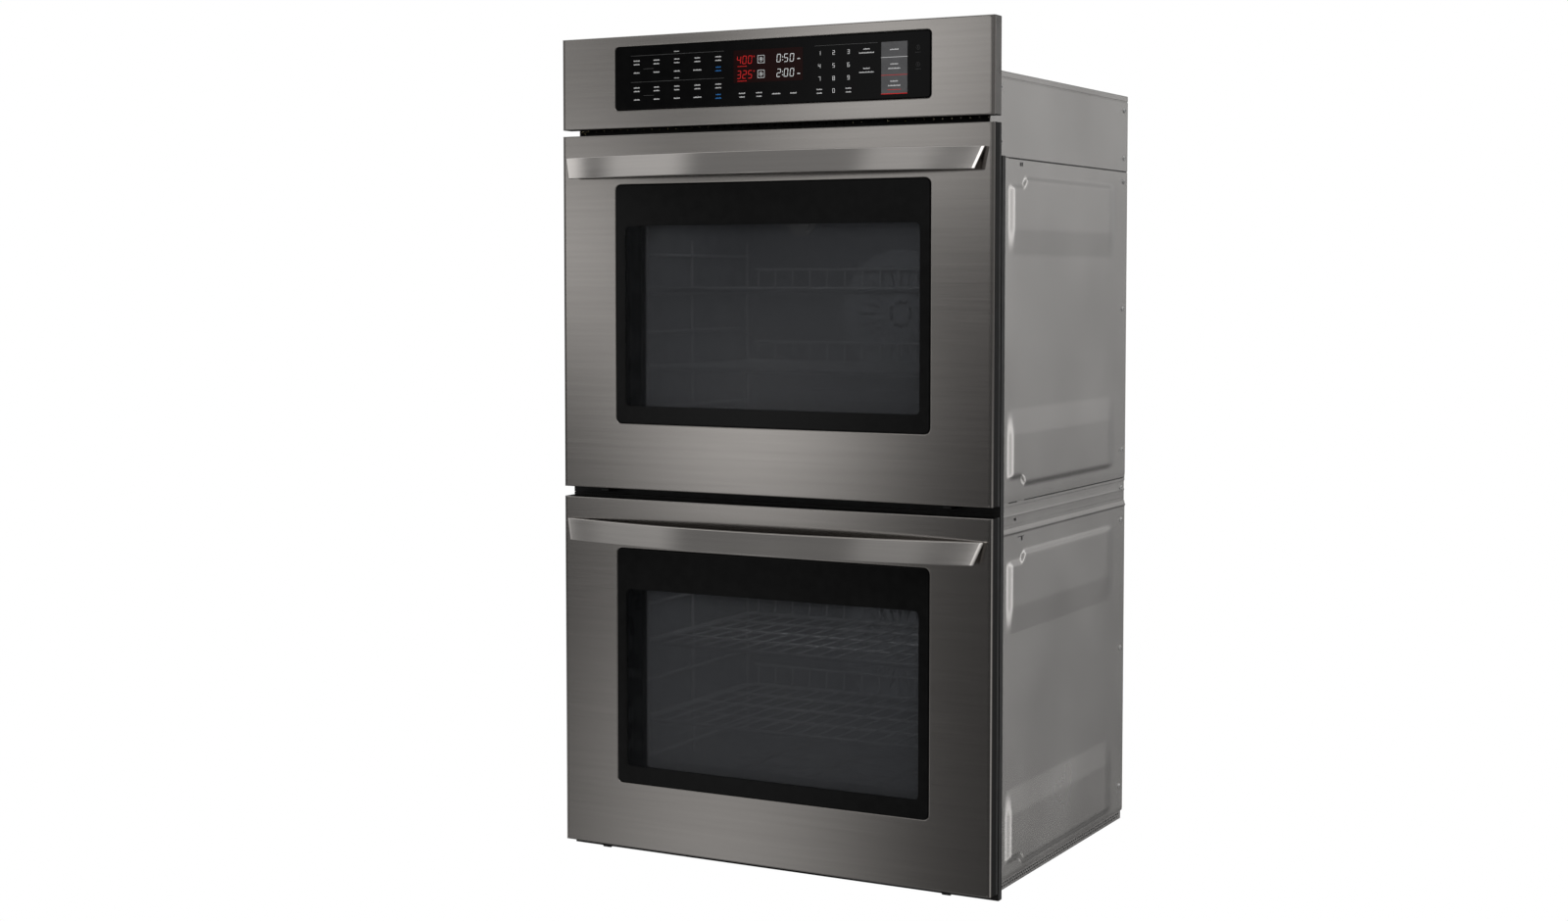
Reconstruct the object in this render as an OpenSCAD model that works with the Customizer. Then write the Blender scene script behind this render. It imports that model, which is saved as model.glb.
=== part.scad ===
// Built-in double wall oven: two drop-down doors under a touch control panel.
// X runs across the front, Y runs from the front to the back, Z is up.
// The origin is at the middle of the bounding box, on the underside of the base tray.

/* [Front] */
// Width of the doors, the control panel and the trim frames
front_w = 756; // [750:1:762]
// Height of each door
door_h = 566; // [560:1:572]
// Depth of a door skin's side, from its front face
door_t = 27; // [27:1:29]
// Height of the control panel
panel_h = 145; // [140:1:150]
// Gap between the lower and the upper door
door_gap = 16; // [15:1:20]
// Gap between the upper door and the control panel
panel_gap = 10; // [8:1:14]
// Height of the lower door's bottom edge above the base
door_lift = 12; // [12:1:16]

/* [Door glass] */
// Width of the door glass and of the control glass
glass_w = 551; // [540:1:556]
// Height of the door glass
glass_h = 380; // [370:1:384]
// Distance from the door's bottom edge to the glass
glass_lift = 106; // [104:1:110]
// Thickness of the outer panes
glass_t = 4; // [3:0.5:5]
// Thickness of the middle and inner panes
pane_t = 3.2; // [3:0.1:4]
// Height of the control glass
touch_h = 99; // [90:1:104]

/* [Handles] */
// How far the middle of a handle stands out from the door
handle_out = 60; // [52:1:64]
// How far the ends of a handle stand off the door
handle_end_out = 12; // [11:1:16]
// Height of the handle blade
handle_h = 34; // [30:1:38]
// Thickness of the handle blade
handle_t = 9; // [7:0.5:10]
// Length of the blade's upper edge
handle_top_w = 737; // [730:1:750]
// Length of the blade's lower edge
handle_low_w = 709; // [700:1:726]
// Distance from the door's top edge to the blade
handle_drop = 35; // [30:1:40]

/* [Case] */
// Width of the case behind the frames
body_w = 722; // [718:1:726]
// Depth of the case behind the trim frames
body_d = 574; // [570:1:590]
// How far the case's top lies below the panel's top
top_drop = 75; // [70:1:80]
// Thickness of the case sheets
sheet_t = 1.2; // [1:0.1:1.5]
// Depth of the trim frames
frame_t = 12; // [12:1:14]
// Height of the base tray
base_h = 15; // [14:1:18]

/* [Ovens] */
// Inside width of an oven
oven_w = 616; // [610:1:618]
// Inside height of an oven
oven_h = 440; // [436:1:444]
// Height of the oven floor above the door's bottom edge
oven_lift = 66; // [66:1:68]
// Distance from the front plane to the oven's back wall
oven_back = 505; // [500:1:506]
// Thickness of the oven wall
wall_t = 1.2; // [1:0.1:2]
// Height of the upper rack above the door's bottom edge
rack_high = 318; // [310:1:330]
// Height of the lower rack above the door's bottom edge
rack_low = 190; // [180:1:200]
// Height of the fan's axis above the door's bottom edge
fan_lift = 276; // [270:1:280]

/* [Hidden] */
$fn = 48;
clear = 0.05;                 // radial clearance of a running fit
face_gap = 3;                 // from the door liner to the trim frame
y_front = -(door_t + face_gap + frame_t + body_d - handle_out) / 2;
y_face = y_front + door_t + face_gap + frame_t;    // the cabinet's face
y_rear = y_face + body_d;
low_z = door_lift;
up_z = door_lift + door_h + door_gap;
panel_z = up_z + door_h + panel_gap;
top_z = panel_z + panel_h;
case_z = top_z - top_drop;
frame_y = y_face - frame_t;   // front of the trim frames
frame_low = -11.5;            // frame's lower edge, from the door's lower edge
frame_h = door_h + 15.5;
seam_z = up_z + 518;          // the top cover's lower edge
mid_z = up_z - 2.5;           // top of the middle shelf
mid_h = 38;                   // height of the band between the two ovens
case_x = body_w / 2;
corner_r = 5;                 // front corner of the door and panel skins
skin_t = 1.2;
skin_side = 20;               // depth of a door skin's side flange
panel_d = 25;                 // depth of the control panel
hinge_y = y_front + 9;        // near the front edge, so that an open door clears what is below it
hinge_drop = 2.5;             // hinge axis below the door's lower edge
hinge_r = 2.5;
knuckle_r = 4.5;
hinge_x = 302.5;              // middle of the chassis ear
ear_t = 6;
arm_t = 3;
arm_gap = 0.5;
plug_w = 590;                 // the door's inner plug
plug_h = 416;
plug_lift = 78;
plug_end = 72;                // from the front plane to the plug's face
plug_r = 16;
window_w = 519;               // opening in the plug
window_h = 296;
window_lift = 130;
rack_w = 598;
rack_front = 95;              // front rail, from the front plane
rack_back = 468;
rack_rod = 3;
rack_wire = 1.6;
rack_pitch = 34.5;
stop_h = 36;                  // height of the rack's rear stop
rail_x = 302;
rail_r = 2.5;
rail_drop = 5.4;              // rack rail above its guide rail, axis to axis
tube_r = 4;                   // heating elements
shaft_r = 4;
fan_cover_r = 112;
fan_cover_t = 25;
latch_y = y_face + 15;
latch_z = 530;
latch_t = 3;
liner_top = latch_z - 6;      // top of the door's inner sheet, below the lock's slot
slot_near = 10;               // the slot's sides, from the lock's axis
slot_far = 46;
latch_len = 40;
pivot_r = 3;
blower_y = -60;
blower_z = 1194;
blower_r = 32;
blower_l = 220;
gland_x = -250;
gland_y = 240;
gland_r = 11;
fixing_x = 369.5;             // mounting screws in the trim frames
fixing_r = 2.5;
fixing_z = [110, 460];
lamp_x = -205;                // oven lamp, from the middle and above the door's lower edge
lamp_z = 440;
broil_pitch = 84;             // between the runs of the broil element
broil_x = broil_pitch * 2.5;
broil_z = oven_lift + oven_h - 22;
bake_pitch = 130;
bake_x = bake_pitch * 1.5;
bake_z = oven_lift + 18;
wool_t = 16;                  // thickness of the blanket round an oven
wool_x = oven_w / 2 + wool_t;
handle_z = door_h - handle_drop - handle_h;
handle_sag = handle_out - handle_end_out;    // how far the middle stands out past the ends
bow_r = (pow(handle_top_w / 2, 2) + pow(handle_sag, 2)) / (2 * handle_sag);
bow_y = y_front - handle_out + bow_r;        // the bow's centre
steel = [0.40, 0.39, 0.37];

// ---- helpers -------------------------------------------------------------

// A box from one corner to the opposite one.
module span(lo, hi) {
    translate(lo) cube(hi - lo);
}

// A rectangle with round corners, centred on X and standing on its lower edge.
module round_rect(w, h, r) {
    translate([-w / 2 + r, 0]) square([w - 2 * r, h]);
    translate([-w / 2, r]) square([w, h - 2 * r]);
    for (x = [-w / 2 + r, w / 2 - r])
        for (z = [r, h - r])
            translate([x, z]) circle(r);
}

// An upright plate with round corners, between two distances from the front plane.
module plate(w, h, r, z, d0, d1) {
    translate([0, y_front + d1, z])
        rotate([90, 0, 0])
            linear_extrude(d1 - d0) round_rect(w, h, r);
}

// A rod along X, Y or Z between two coordinates.
module rod_x(x0, x1, y, z, r) {
    translate([x0, y, z]) rotate([0, 90, 0]) cylinder(r = r, h = x1 - x0);
}

module rod_y(x, y0, y1, z, r) {
    translate([x, y1, z]) rotate([90, 0, 0]) cylinder(r = r, h = y1 - y0);
}

module rod_z(x, y, z0, z1, r) {
    translate([x, y, z0]) cylinder(r = r, h = z1 - z0);
}

// The plan of a folded skin whose two front corners are round.
module skin_plan(w, d, r) {
    translate([-w / 2, r]) square([w, d - r]);
    translate([-w / 2 + r, 0]) square([w - 2 * r, r + 1]);
    for (x = [-w / 2 + r, w / 2 - r])
        translate([x, r]) circle(r);
}

// A tray of folded sheet, open at the back.
module skin(w, h, d, t) {
    translate([0, y_front, 0])
        difference() {
            linear_extrude(h) skin_plan(w, d, corner_r);
            translate([0, t, t])
                linear_extrude(h - 2 * t) skin_plan(w - 2 * t, d, corner_r - t);
        }
}

// ---- control panel -------------------------------------------------------

module control_fascia() {
    color([0.42, 0.41, 0.40])
        difference() {
            translate([0, 0, panel_z]) skin(front_w, panel_h, panel_d, 1.5);
            plate(glass_w + 1.5, touch_h + 1.5, 6, top_z - 17.3 - touch_h - 0.75, -1, 4);
        }
}

module control_glass() {
    color([0.03, 0.03, 0.03])
        plate(glass_w, touch_h, 5.5, top_z - 17.3 - touch_h, -0.5, glass_t - 0.5);
}

module control_board() {
    board_z = top_z - 17.3 - touch_h + 6;
    color([0.05, 0.25, 0.12]) {
        plate(glass_w - 20, touch_h - 12, 2, board_z, 9, 10.6);
        span([-62, y_front + glass_t, board_z + 22], [70, y_front + 9, board_z + 76]);
        for (x = [-220, 180])
            span([x, y_front + 10.6, board_z + 20], [x + 50, y_front + 20, board_z + 60]);
    }
}

module control_back() {
    color([0.5, 0.5, 0.5])
        difference() {
            plate(front_w - 4, panel_h - 4, 2, panel_z + 2, panel_d - 1.5, panel_d);
            for (x = [-300 : 50 : 300])
                plate_slot(x, top_z - 50);
        }
}

// A vent slot through the panel's back sheet.
module plate_slot(x, z) {
    translate([x, 0, 0]) plate(30, 5, 2.4, z, panel_d - 3, panel_d + 1);
}

// ---- case ----------------------------------------------------------------

module top_cover() {
    color([0.55, 0.54, 0.52])
        difference() {
            span([-case_x, y_front + panel_d, seam_z + 0.5], [case_x, y_rear - 2, case_z]);
            span([-case_x + sheet_t, y_front, seam_z - 1],
                 [case_x - sheet_t, y_rear, case_z - sheet_t]);
            span([-front_w / 2, y_front, seam_z - 1], [front_w / 2, frame_y, panel_z - 6]);
            rod_z(gland_x, gland_y, case_z - 5, case_z + 5, gland_r + 0.5);
            for (x = [60 : 24 : 300])
                span([x, 120, case_z - 5], [x + 6, 240, case_z + 5]);
        }
}

// One raised strip pressed into a side sheet, narrowing to a point.
module side_strip(z, length, dir) {
    d0 = y_front + 91;
    translate([case_x - 0.1, 0, z])
        rotate([90, 0, 90])
            linear_extrude(2.6)
                polygon([[d0, 0], [d0 + 25, 0], [d0 + 25, dir * length * 0.64], [d0, dir * length]]);
}

module side_pair(z0, z1, strips, hole_z) {
    for (s = [0, 1])
        mirror([s, 0, 0])
            difference() {
                union() {
                    span([case_x - sheet_t, y_face, z0], [case_x, y_rear - 2, z1]);
                    span([case_x - 12, y_face, z0], [case_x, y_face + sheet_t, z1]);
                    for (p = strips)
                        side_strip(p[0], p[1], p[2]);
                }
                for (y = [108, 114])
                    span([case_x - 5, y_face + y, hole_z], [case_x + 5, y_face + y + 4, hole_z + 7]);
            }
}

module upper_sides() {
    color([0.55, 0.54, 0.52])
        side_pair(mid_z, seam_z, [[up_z + 481, 108, -1], [up_z + 23, 108, 1]], seam_z - 22);
}

module lower_sides() {
    color([0.50, 0.49, 0.47])
        side_pair(base_h, mid_z - mid_h - 1.5, [[503, 113, -1], [38, 113, 1]], 524);
}

// A back sheet with rows of slots and a hatch-like raised rim round the fan motor.
module back_sheet(z0, z1, motor_z, slot_z) {
    difference() {
        span([-case_x + 1.5, y_rear - 3.2, z0], [case_x - 1.5, y_rear - 2, z1]);
        for (row = [0 : 2])
            for (x = [-225 : 50 : 225])
                span([x - 18, y_rear - 5, slot_z + row * 14], [x + 18, y_rear + 1, slot_z + row * 14 + 5]);
    }
    translate([0, y_rear - 2, motor_z])
        rotate([90, 0, 0])
            translate([0, 0, -2])
                difference() {
                    cylinder(r = 70, h = 2);
                    translate([0, 0, -1]) cylinder(r = 66, h = 4);
                }
}

module upper_back() {
    color([0.55, 0.55, 0.54])
        back_sheet(mid_z + 0.5, case_z - sheet_t - 0.3, up_z + fan_lift, up_z + 420);
}

module lower_back() {
    color([0.55, 0.55, 0.54])
        back_sheet(base_h + 0.5, mid_z - sheet_t - 0.5, low_z + fan_lift, low_z + 420);
}

module base_tray() {
    color([0.45, 0.45, 0.44])
        difference() {
            span([-case_x + 3, y_face + 4, 0], [case_x - 3, y_rear - 2, base_h]);
            span([-case_x + 5, y_face + 6, 2], [case_x - 5, y_rear - 4, base_h + 1]);
            for (y = [y_face + 24 : 36 : y_rear - 30])
                span([-case_x, y, 6], [case_x, y + 18, 10]);
        }
}

module middle_shelf() {
    color([0.5, 0.49, 0.47])
        difference() {
            span([-case_x + 1, y_face, mid_z - mid_h - 1.5], [case_x - 1, y_rear - 3.2, mid_z]);
            span([-case_x + 2.2, y_face - 1, mid_z - mid_h - 3],
                 [case_x - 2.2, y_rear, mid_z - sheet_t]);
            for (y = [60, 460])
                rod_x(-case_x - 1, case_x + 1, y_face + y, mid_z - 26, 2.5);
        }
}

// ---- trim frames, ovens and what is in them ------------------------------

// The ring of folded sheet round one oven's mouth, with the two hinge ears.
module trim_frame(wide_h) {
    difference() {
        union() {
            difference() {
                span([-front_w / 2, frame_y, frame_low], [front_w / 2, y_face, frame_low + frame_h]);
                span([-front_w / 2 + 1.5, frame_y + 1.5, frame_low + 1.5],
                     [front_w / 2 - 1.5, y_face - 1.5, frame_low + frame_h - 1.5]);
            }
            for (s = [-1, 1]) {
                rod_x(s * hinge_x - ear_t / 2, s * hinge_x + ear_t / 2, hinge_y, -hinge_drop, knuckle_r);
                span([s * hinge_x - ear_t / 2, hinge_y, -hinge_drop - knuckle_r],
                     [s * hinge_x + ear_t / 2, frame_y + 1, -hinge_drop]);
            }
        }
        plate(oven_w, oven_h, 20, oven_lift, door_t, door_t + 30);
        span([-slot_near, frame_y - 1, latch_z - 3], [slot_far, y_face + 1, latch_z + 6]);
        for (x = [-260 : 40 : 220])
            span([x, frame_y - 1, frame_low + frame_h - 10], [x + 28, frame_y + 3, frame_low + frame_h - 5]);
        for (s = [-1, 1]) {
            rod_x(s * hinge_x - ear_t, s * hinge_x + ear_t, hinge_y, -hinge_drop, hinge_r + clear);
            for (z = fixing_z)
                rod_y(s * fixing_x, frame_y - 1, y_face + 1, z, fixing_r);
            span([s * (front_w / 2 + case_x - 2) / 2 - 9.5, frame_y - 1, wide_h],
                 [s * (front_w / 2 + case_x - 2) / 2 + 9.5, y_face + 1, frame_h]);
        }
    }
}

module upper_frame() {
    color([0.05, 0.05, 0.05]) translate([0, 0, up_z]) trim_frame(seam_z - up_z);
}

module lower_frame() {
    color([0.05, 0.05, 0.05]) translate([0, 0, low_z]) trim_frame(frame_h - 1);
}

module cavity() {
    difference() {
        union() {
            plate(oven_w + 2 * wall_t, oven_h + 2 * wall_t, 21.5, oven_lift - wall_t,
                  y_face - y_front, oven_back + wall_t);
            plate(oven_w + 44, oven_h + 28, 10, oven_lift - 14, y_face - y_front,
                  y_face - y_front + wall_t);
        }
        plate(oven_w, oven_h, 20, oven_lift, 0, oven_back);
        rod_y(0, y_front + oven_back - 1, y_front + oven_back + 5, fan_lift, shaft_r + 1.5);
        rod_y(lamp_x, y_front + oven_back - 1, y_front + oven_back + 5, lamp_z, 22);
        for (x = [-broil_x, broil_x])
            rod_y(x, y_front + oven_back - 1, y_front + oven_back + 5, broil_z, tube_r + 0.6);
        for (x = [-bake_x, bake_x])
            rod_y(x, y_front + oven_back - 1, y_front + oven_back + 5, bake_z, tube_r + 0.6);
    }
}

module upper_cavity() {
    color([0.16, 0.18, 0.21]) translate([0, 0, up_z]) cavity();
}

module lower_cavity() {
    color([0.16, 0.18, 0.21]) translate([0, 0, low_z]) cavity();
}

module gasket() {
    difference() {
        plate(oven_w + 24, oven_h + 24, 28, oven_lift - 12, door_t + 0.3, door_t + face_gap);
        plate(oven_w + 6, oven_h + 6, 22, oven_lift - 3, door_t - 1, door_t + face_gap + 1);
    }
}

module upper_gasket() {
    color([0.12, 0.12, 0.12]) translate([0, 0, up_z]) gasket();
}

module lower_gasket() {
    color([0.12, 0.12, 0.12]) translate([0, 0, low_z]) gasket();
}

// The perforated cover over the convection fan.
module fan_cover() {
    translate([0, y_front + oven_back, fan_lift])
        rotate([90, 0, 0])
            difference() {
                cylinder(r = fan_cover_r, h = fan_cover_t);
                translate([0, 0, -1]) cylinder(r = fan_cover_r - 1.2, h = fan_cover_t - 0.2);
                for (a = [0 : 15 : 345])
                    rotate([0, 0, a])
                        translate([42, -2, fan_cover_t - 3]) cube([38, 4, 6]);
                for (a = [0 : 30 : 330])
                    rotate([0, 0, a])
                        translate([fan_cover_r - 5, -9, 6]) cube([10, 18, 12]);
                translate([0, 0, fan_cover_t - 3])
                    difference() {
                        cylinder(r = 24, h = 6);
                        translate([0, 0, -1]) cylinder(r = 16, h = 8);
                        for (a = [0 : 90 : 270])
                            rotate([0, 0, a + 45]) translate([10, -3, -1]) cube([20, 6, 8]);
                    }
            }
}

module upper_fan_cover() {
    color([0.2, 0.22, 0.25]) translate([0, 0, up_z]) fan_cover();
}

module lower_fan_cover() {
    color([0.2, 0.22, 0.25]) translate([0, 0, low_z]) fan_cover();
}

// A heating tube that runs to and fro, with an even number of legs.
module element(legs, pitch, y0, y1, z) {
    x0 = -(legs - 1) * pitch / 2;
    y_term = y_front + oven_back + 24;
    for (i = [0 : legs - 1])
        rod_y(x0 + i * pitch, y0, i == 0 || i == legs - 1 ? y_term : y1, z, tube_r);
    for (i = [0 : legs - 2])
        translate([x0 + (i + 0.5) * pitch, i % 2 == 0 ? y0 : y1, z])
            rotate([0, 0, i % 2 == 0 ? 180 : 0])
                rotate_extrude(angle = 180)
                    translate([pitch / 2, 0]) circle(tube_r);
}

module broil() {
    element(6, broil_pitch, y_front + 165, y_front + 430, broil_z);
}

module bake() {
    element(4, bake_pitch, y_front + 190, y_front + 410, bake_z);
}

module upper_bake_element() {
    color([0.2, 0.2, 0.2]) translate([0, 0, up_z]) bake();
}

module lower_bake_element() {
    color([0.2, 0.2, 0.2]) translate([0, 0, low_z]) bake();
}

module upper_broil_element() {
    color([0.2, 0.2, 0.2]) translate([0, 0, up_z]) broil();
}

module lower_broil_element() {
    color([0.2, 0.2, 0.2]) translate([0, 0, low_z]) broil();
}

// Motors behind the ovens, each with a bore for its fan's shaft.
module fan_motors() {
    color([0.6, 0.6, 0.6])
        for (z = [up_z, low_z])
            difference() {
                union() {
                    rod_y(0, 272, 322, z + fan_lift, 38);
                    span([-62, 270, z + fan_lift - 12], [62, 272, z + fan_lift + 12]);
                }
                rod_y(0, 260, 305, z + fan_lift, shaft_r + clear);
            }
}

// One convection fan with its shaft.
module convection_fan() {
    y0 = y_front + oven_back - 21;
    rod_y(0, y0, y0 + 14, fan_lift, 12);
    rod_y(0, y0 + 14, y0 + 15.2, fan_lift, 72);
    rod_y(0, y0 + 15, 302, fan_lift, shaft_r);
    for (a = [0 : 36 : 324])
        translate([0, y0, fan_lift])
            rotate([0, a, 0])
                translate([20, 0, -0.6]) cube([56, 15, 1.2]);
}

module upper_fan() {
    color([0.55, 0.56, 0.58]) translate([0, 0, up_z]) convection_fan();
}

module lower_fan() {
    color([0.55, 0.56, 0.58]) translate([0, 0, low_z]) convection_fan();
}

// The lamps at the back of the ovens: a lens inside and a holder behind the wall.
module oven_lamps() {
    y_wall = y_front + oven_back;
    color([0.9, 0.88, 0.8])
        for (z = [up_z, low_z])
            translate([0, 0, z + lamp_z]) {
                rod_y(lamp_x, y_wall - 8, y_wall, 0, 28);
                rod_y(lamp_x, y_wall - 14, y_wall - 8, 0, 20);
                rod_y(lamp_x, y_wall, y_wall + 34, 0, 21);
            }
}

// The wire ladders on both side walls that the racks slide on.
module rack_guides() {
    for (s = [-1, 1]) {
        for (z = [rack_low - 64, rack_low, rack_low + 64, rack_high, rack_high + 64])
            rod_y(s * rail_x, y_front + 92, y_front + 478, z - rail_drop, rail_r);
        for (y = [92, 285, 478])
            rod_z(s * (rail_x + 3), y_front + y, rack_low - 90, rack_high + 84, rail_r);
    }
}

module upper_rack_guides() {
    color([0.75, 0.75, 0.76]) translate([0, 0, up_z]) rack_guides();
}

module lower_rack_guides() {
    color([0.75, 0.75, 0.76]) translate([0, 0, low_z]) rack_guides();
}

// One wire rack: a flat grid, and an upright stop that stands on its rear edge.
module rack(z) {
    y0 = y_front + rack_front;
    y1 = y_front + rack_back;
    half = rack_w / 2 - rack_rod;
    wire_z = z + rack_rod + 0.4;
    for (s = [-1, 1])
        rod_y(s * half, y0 + 6, y1, z, rack_rod);
    for (y = [y0 + 6, y1])
        rod_x(-half, half, y, z, rack_rod);
    rod_x(-half + 23, half - 23, y0, z + 1, rack_rod);
    rod_x(-half, half, (y0 + y1) / 2, z, rack_rod - 0.5);
    for (i = [-8 : 8]) {
        rod_y(i * rack_pitch, y0, y1, wire_z, rack_wire);
        rod_z(i * rack_pitch, y1, wire_z + rack_wire + 0.2, z + stop_h, rack_wire);
    }
    rod_x(-8 * rack_pitch - 4, 8 * rack_pitch + 4, y1, z + stop_h, rack_wire + 0.6);
}

module upper_rack_a() {
    color([0.75, 0.75, 0.76]) rack(up_z + rack_high);
}

module upper_rack_b() {
    color([0.75, 0.75, 0.76]) rack(up_z + rack_low);
}

module lower_rack_a() {
    color([0.75, 0.75, 0.76]) rack(low_z + rack_high);
}

module lower_rack_b() {
    color([0.75, 0.75, 0.76]) rack(low_z + rack_low);
}

module insulation() {
    color([0.85, 0.8, 0.55])
        for (z = [up_z, low_z])
            translate([0, 0, z])
                difference() {
                    span([-wool_x, y_face + 8, oven_lift - wool_t],
                         [wool_x, y_front + oven_back + wool_t, oven_lift + oven_h + wool_t]);
                    plate(oven_w + 4, oven_h + 4, 23, oven_lift - 2, 0, oven_back + 2);
                    rod_y(0, 200, 300, fan_lift, 14);
                    rod_y(lamp_x, 200, 300, lamp_z, 23);
                    for (x = [-broil_x, broil_x])
                        rod_y(x, 200, 300, broil_z, 6);
                    for (x = [-bake_x, bake_x])
                        rod_y(x, 200, 300, bake_z, 6);
                }
}

// ---- door locks, cooling blower and supply entry -------------------------

module latch_motors() {
    color([0.4, 0.4, 0.42])
        for (z = [up_z, low_z])
            translate([0, 0, z + latch_z]) {
                rod_z(0, latch_y, -3, 7, pivot_r);
                span([-22, latch_y - 10, 7], [22, latch_y + 50, 9]);
                rod_z(0, latch_y + 34, 9, 24, 18);
            }
}

// A lock hook, stowed along X, that swings forward into the door's slot.
module latch_hook() {
    translate([0, latch_y, latch_z])
        difference() {
            union() {
                cylinder(r = 8, h = latch_t);
                translate([0, -4, 0]) cube([latch_len, 8, latch_t]);
                translate([latch_len - 7, -8, 0]) cube([7, 5, latch_t]);
            }
            translate([0, 0, -1]) cylinder(r = pivot_r + clear, h = latch_t + 2);
        }
}

module upper_latch() {
    color([0.7, 0.7, 0.7]) translate([0, 0, up_z]) latch_hook();
}

module lower_latch() {
    color([0.7, 0.7, 0.7]) translate([0, 0, low_z]) latch_hook();
}

// The sheet box round the blower wheel, with its duct to the front and its motor.
module blower_housing() {
    half = blower_l / 2;
    low = blower_z - 44;
    color([0.6, 0.6, 0.6])
        difference() {
            union() {
                span([-half - 8, blower_y - 44, low], [half + 8, blower_y + 44, low + 86]);
                span([-half - 8, y_face, low], [half + 8, blower_y, low + 24]);
                rod_x(half + 8, half + 56, blower_y, blower_z, 30);
            }
            span([-half - 6, blower_y - 42, low + 2], [half + 6, blower_y + 42, low + 84]);
            span([-half - 6, y_face - 1, low + 2], [half + 6, blower_y, low + 22]);
            rod_x(-half - 20, half + 40, blower_y, blower_z, shaft_r + clear);
            span([-half - 20, blower_y - 20, blower_z - 20], [-half - 1, blower_y + 20, blower_z + 20]);
        }
}

module blower_wheel() {
    half = blower_l / 2;
    color([0.7, 0.7, 0.72]) {
        for (x = [-half, -0.6, half - 1.2])
            rod_x(x, x + 1.2, blower_y, blower_z, blower_r);
        rod_x(-half, half + 36, blower_y, blower_z, shaft_r);
        for (a = [0 : 20 : 340])
            translate([-half, blower_y, blower_z])
                rotate([a, 0, 0])
                    translate([0, -0.5, blower_r - 9]) cube([blower_l, 1, 8]);
    }
}

// The conduit connector on the case's top, with its hexagonal lock nut.
module supply_gland() {
    color([0.7, 0.7, 0.72])
        translate([gland_x, gland_y, case_z])
            difference() {
                union() {
                    cylinder(r = gland_r + 4, h = 24);
                    cylinder(r = gland_r + 9, h = 7, $fn = 6);
                }
                translate([0, 0, -1]) cylinder(r = gland_r, h = 26);
            }
}

module terminal_cover() {
    color([0.6, 0.6, 0.6])
        difference() {
            span([-200, 200, case_z], [-80, 290, case_z + 18]);
            span([-198.8, 201.2, case_z - 1], [-81.2, 288.8, case_z + 16.8]);
        }
}

// Pan-head screws on the case sides and back; every one is the same.
module case_screws() {
    color([0.72, 0.72, 0.72]) {
        for (s = [-1, 1])
            for (z = [60, 300, 520, 575, 640, 880, 1095, 1135, 1215])
                for (y = [y_face + 20, y_rear - 20])
                    screw_x(s, y, z);
        for (x = [-340, 340])
            for (z = [40, 300, 560, 620, 900, 1210])
                rod_y(x, y_rear - 2, y_rear - 0.3, z, 4.5);
    }
}

module screw_x(s, y, z) {
    x = case_x - (z > mid_z - mid_h && z < mid_z ? 1 : 0);
    mirror([s < 0 ? 1 : 0, 0, 0]) rod_x(x, x + 2, y, z, 4.5);
}

// ---- doors ---------------------------------------------------------------

module door_skin() {
    difference() {
        skin(front_w, door_h, skin_side, skin_t);
        plate(glass_w + 1.5, glass_h + 1.5, 9, glass_lift - 0.75, -1, 5);
        for (s = [-1, 1])
            span([s * hinge_x - 9, hinge_y - 6, -1], [s * hinge_x + 9, y_front + skin_side + 1, 3]);
        for (x = [-300 : 50 : 300])
            span([x - 18, y_front + 8, door_h - 4], [x + 18, y_front + 13, door_h + 1]);
    }
}

// The dark strips that close the door's two sides.
module door_trims() {
    for (s = [0, 1])
        mirror([s, 0, 0])
            difference() {
                span([front_w / 2 - 7, y_front + skin_side, 0],
                     [front_w / 2 - 0.4, y_front + door_t, door_h]);
                span([front_w / 2 - 2, y_front + skin_side + 2.5, -1],
                     [front_w / 2 + 1, y_front + skin_side + 4, door_h + 1]);
            }
}

module door_glass() {
    plate(glass_w, glass_h, 8.25, glass_lift, -0.5, glass_t - 0.5);
}

module door_middle_glass() {
    plate(560, 400, 6, glass_lift - 10, 15, 15 + pane_t);
}

module door_inner_glass() {
    plate(window_w + 26, window_h + 26, 6, window_lift - 13, plug_end - 1.4 - pane_t, plug_end - 1.4);
}

// The enamelled inner side of the door, with the plug that enters the oven and,
// above it, two strips that leave a slot between them for the lock's hook.
module door_liner() {
    difference() {
        union() {
            plate(front_w - 16, liner_top - 3, 3, 3, door_t - 1.5, door_t);
            plate(plug_w, plug_h, plug_r, plug_lift, door_t - 1, plug_end);
        }
        plate(plug_w - 2.4, plug_h - 2.4, plug_r - 1.2, plug_lift + 1.2, door_t - 4, plug_end - 1.2);
        plate(window_w, window_h, 10, window_lift, plug_end - 4, plug_end + 2);
        for (x = [-240 : 60 : 240])
            span([x - 20, y_front + door_t - 4, 20], [x + 20, y_front + door_t + 2, 26]);
    }
    for (x = [[-front_w / 2 + 8, -slot_near], [slot_far, front_w / 2 - 8]])
        span([x[0], y_front + door_t - 1.5, liner_top + 0.3], [x[1], y_front + door_t, door_h - 3]);
}

// The space between two arcs about the bow's centre.
module bow(r_out, r_in, z0, z1) {
    translate([0, bow_y, z0])
        difference() {
            cylinder(r = r_out, h = z1 - z0, $fn = 360);
            translate([0, 0, -1]) cylinder(r = r_in, h = z1 - z0 + 2, $fn = 360);
        }
}

module handle() {
    intersection() {
        bow(bow_r, bow_r - handle_t, handle_z, handle_z + handle_h);
        translate([0, y_front, handle_z])
            rotate([90, 0, 0])
                linear_extrude(handle_out + 10)
                    polygon([
                        [-handle_low_w / 2, 0], [handle_low_w / 2, 0],
                        [handle_top_w / 2, handle_h], [-handle_top_w / 2, handle_h]
                    ]);
    }
}

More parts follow.
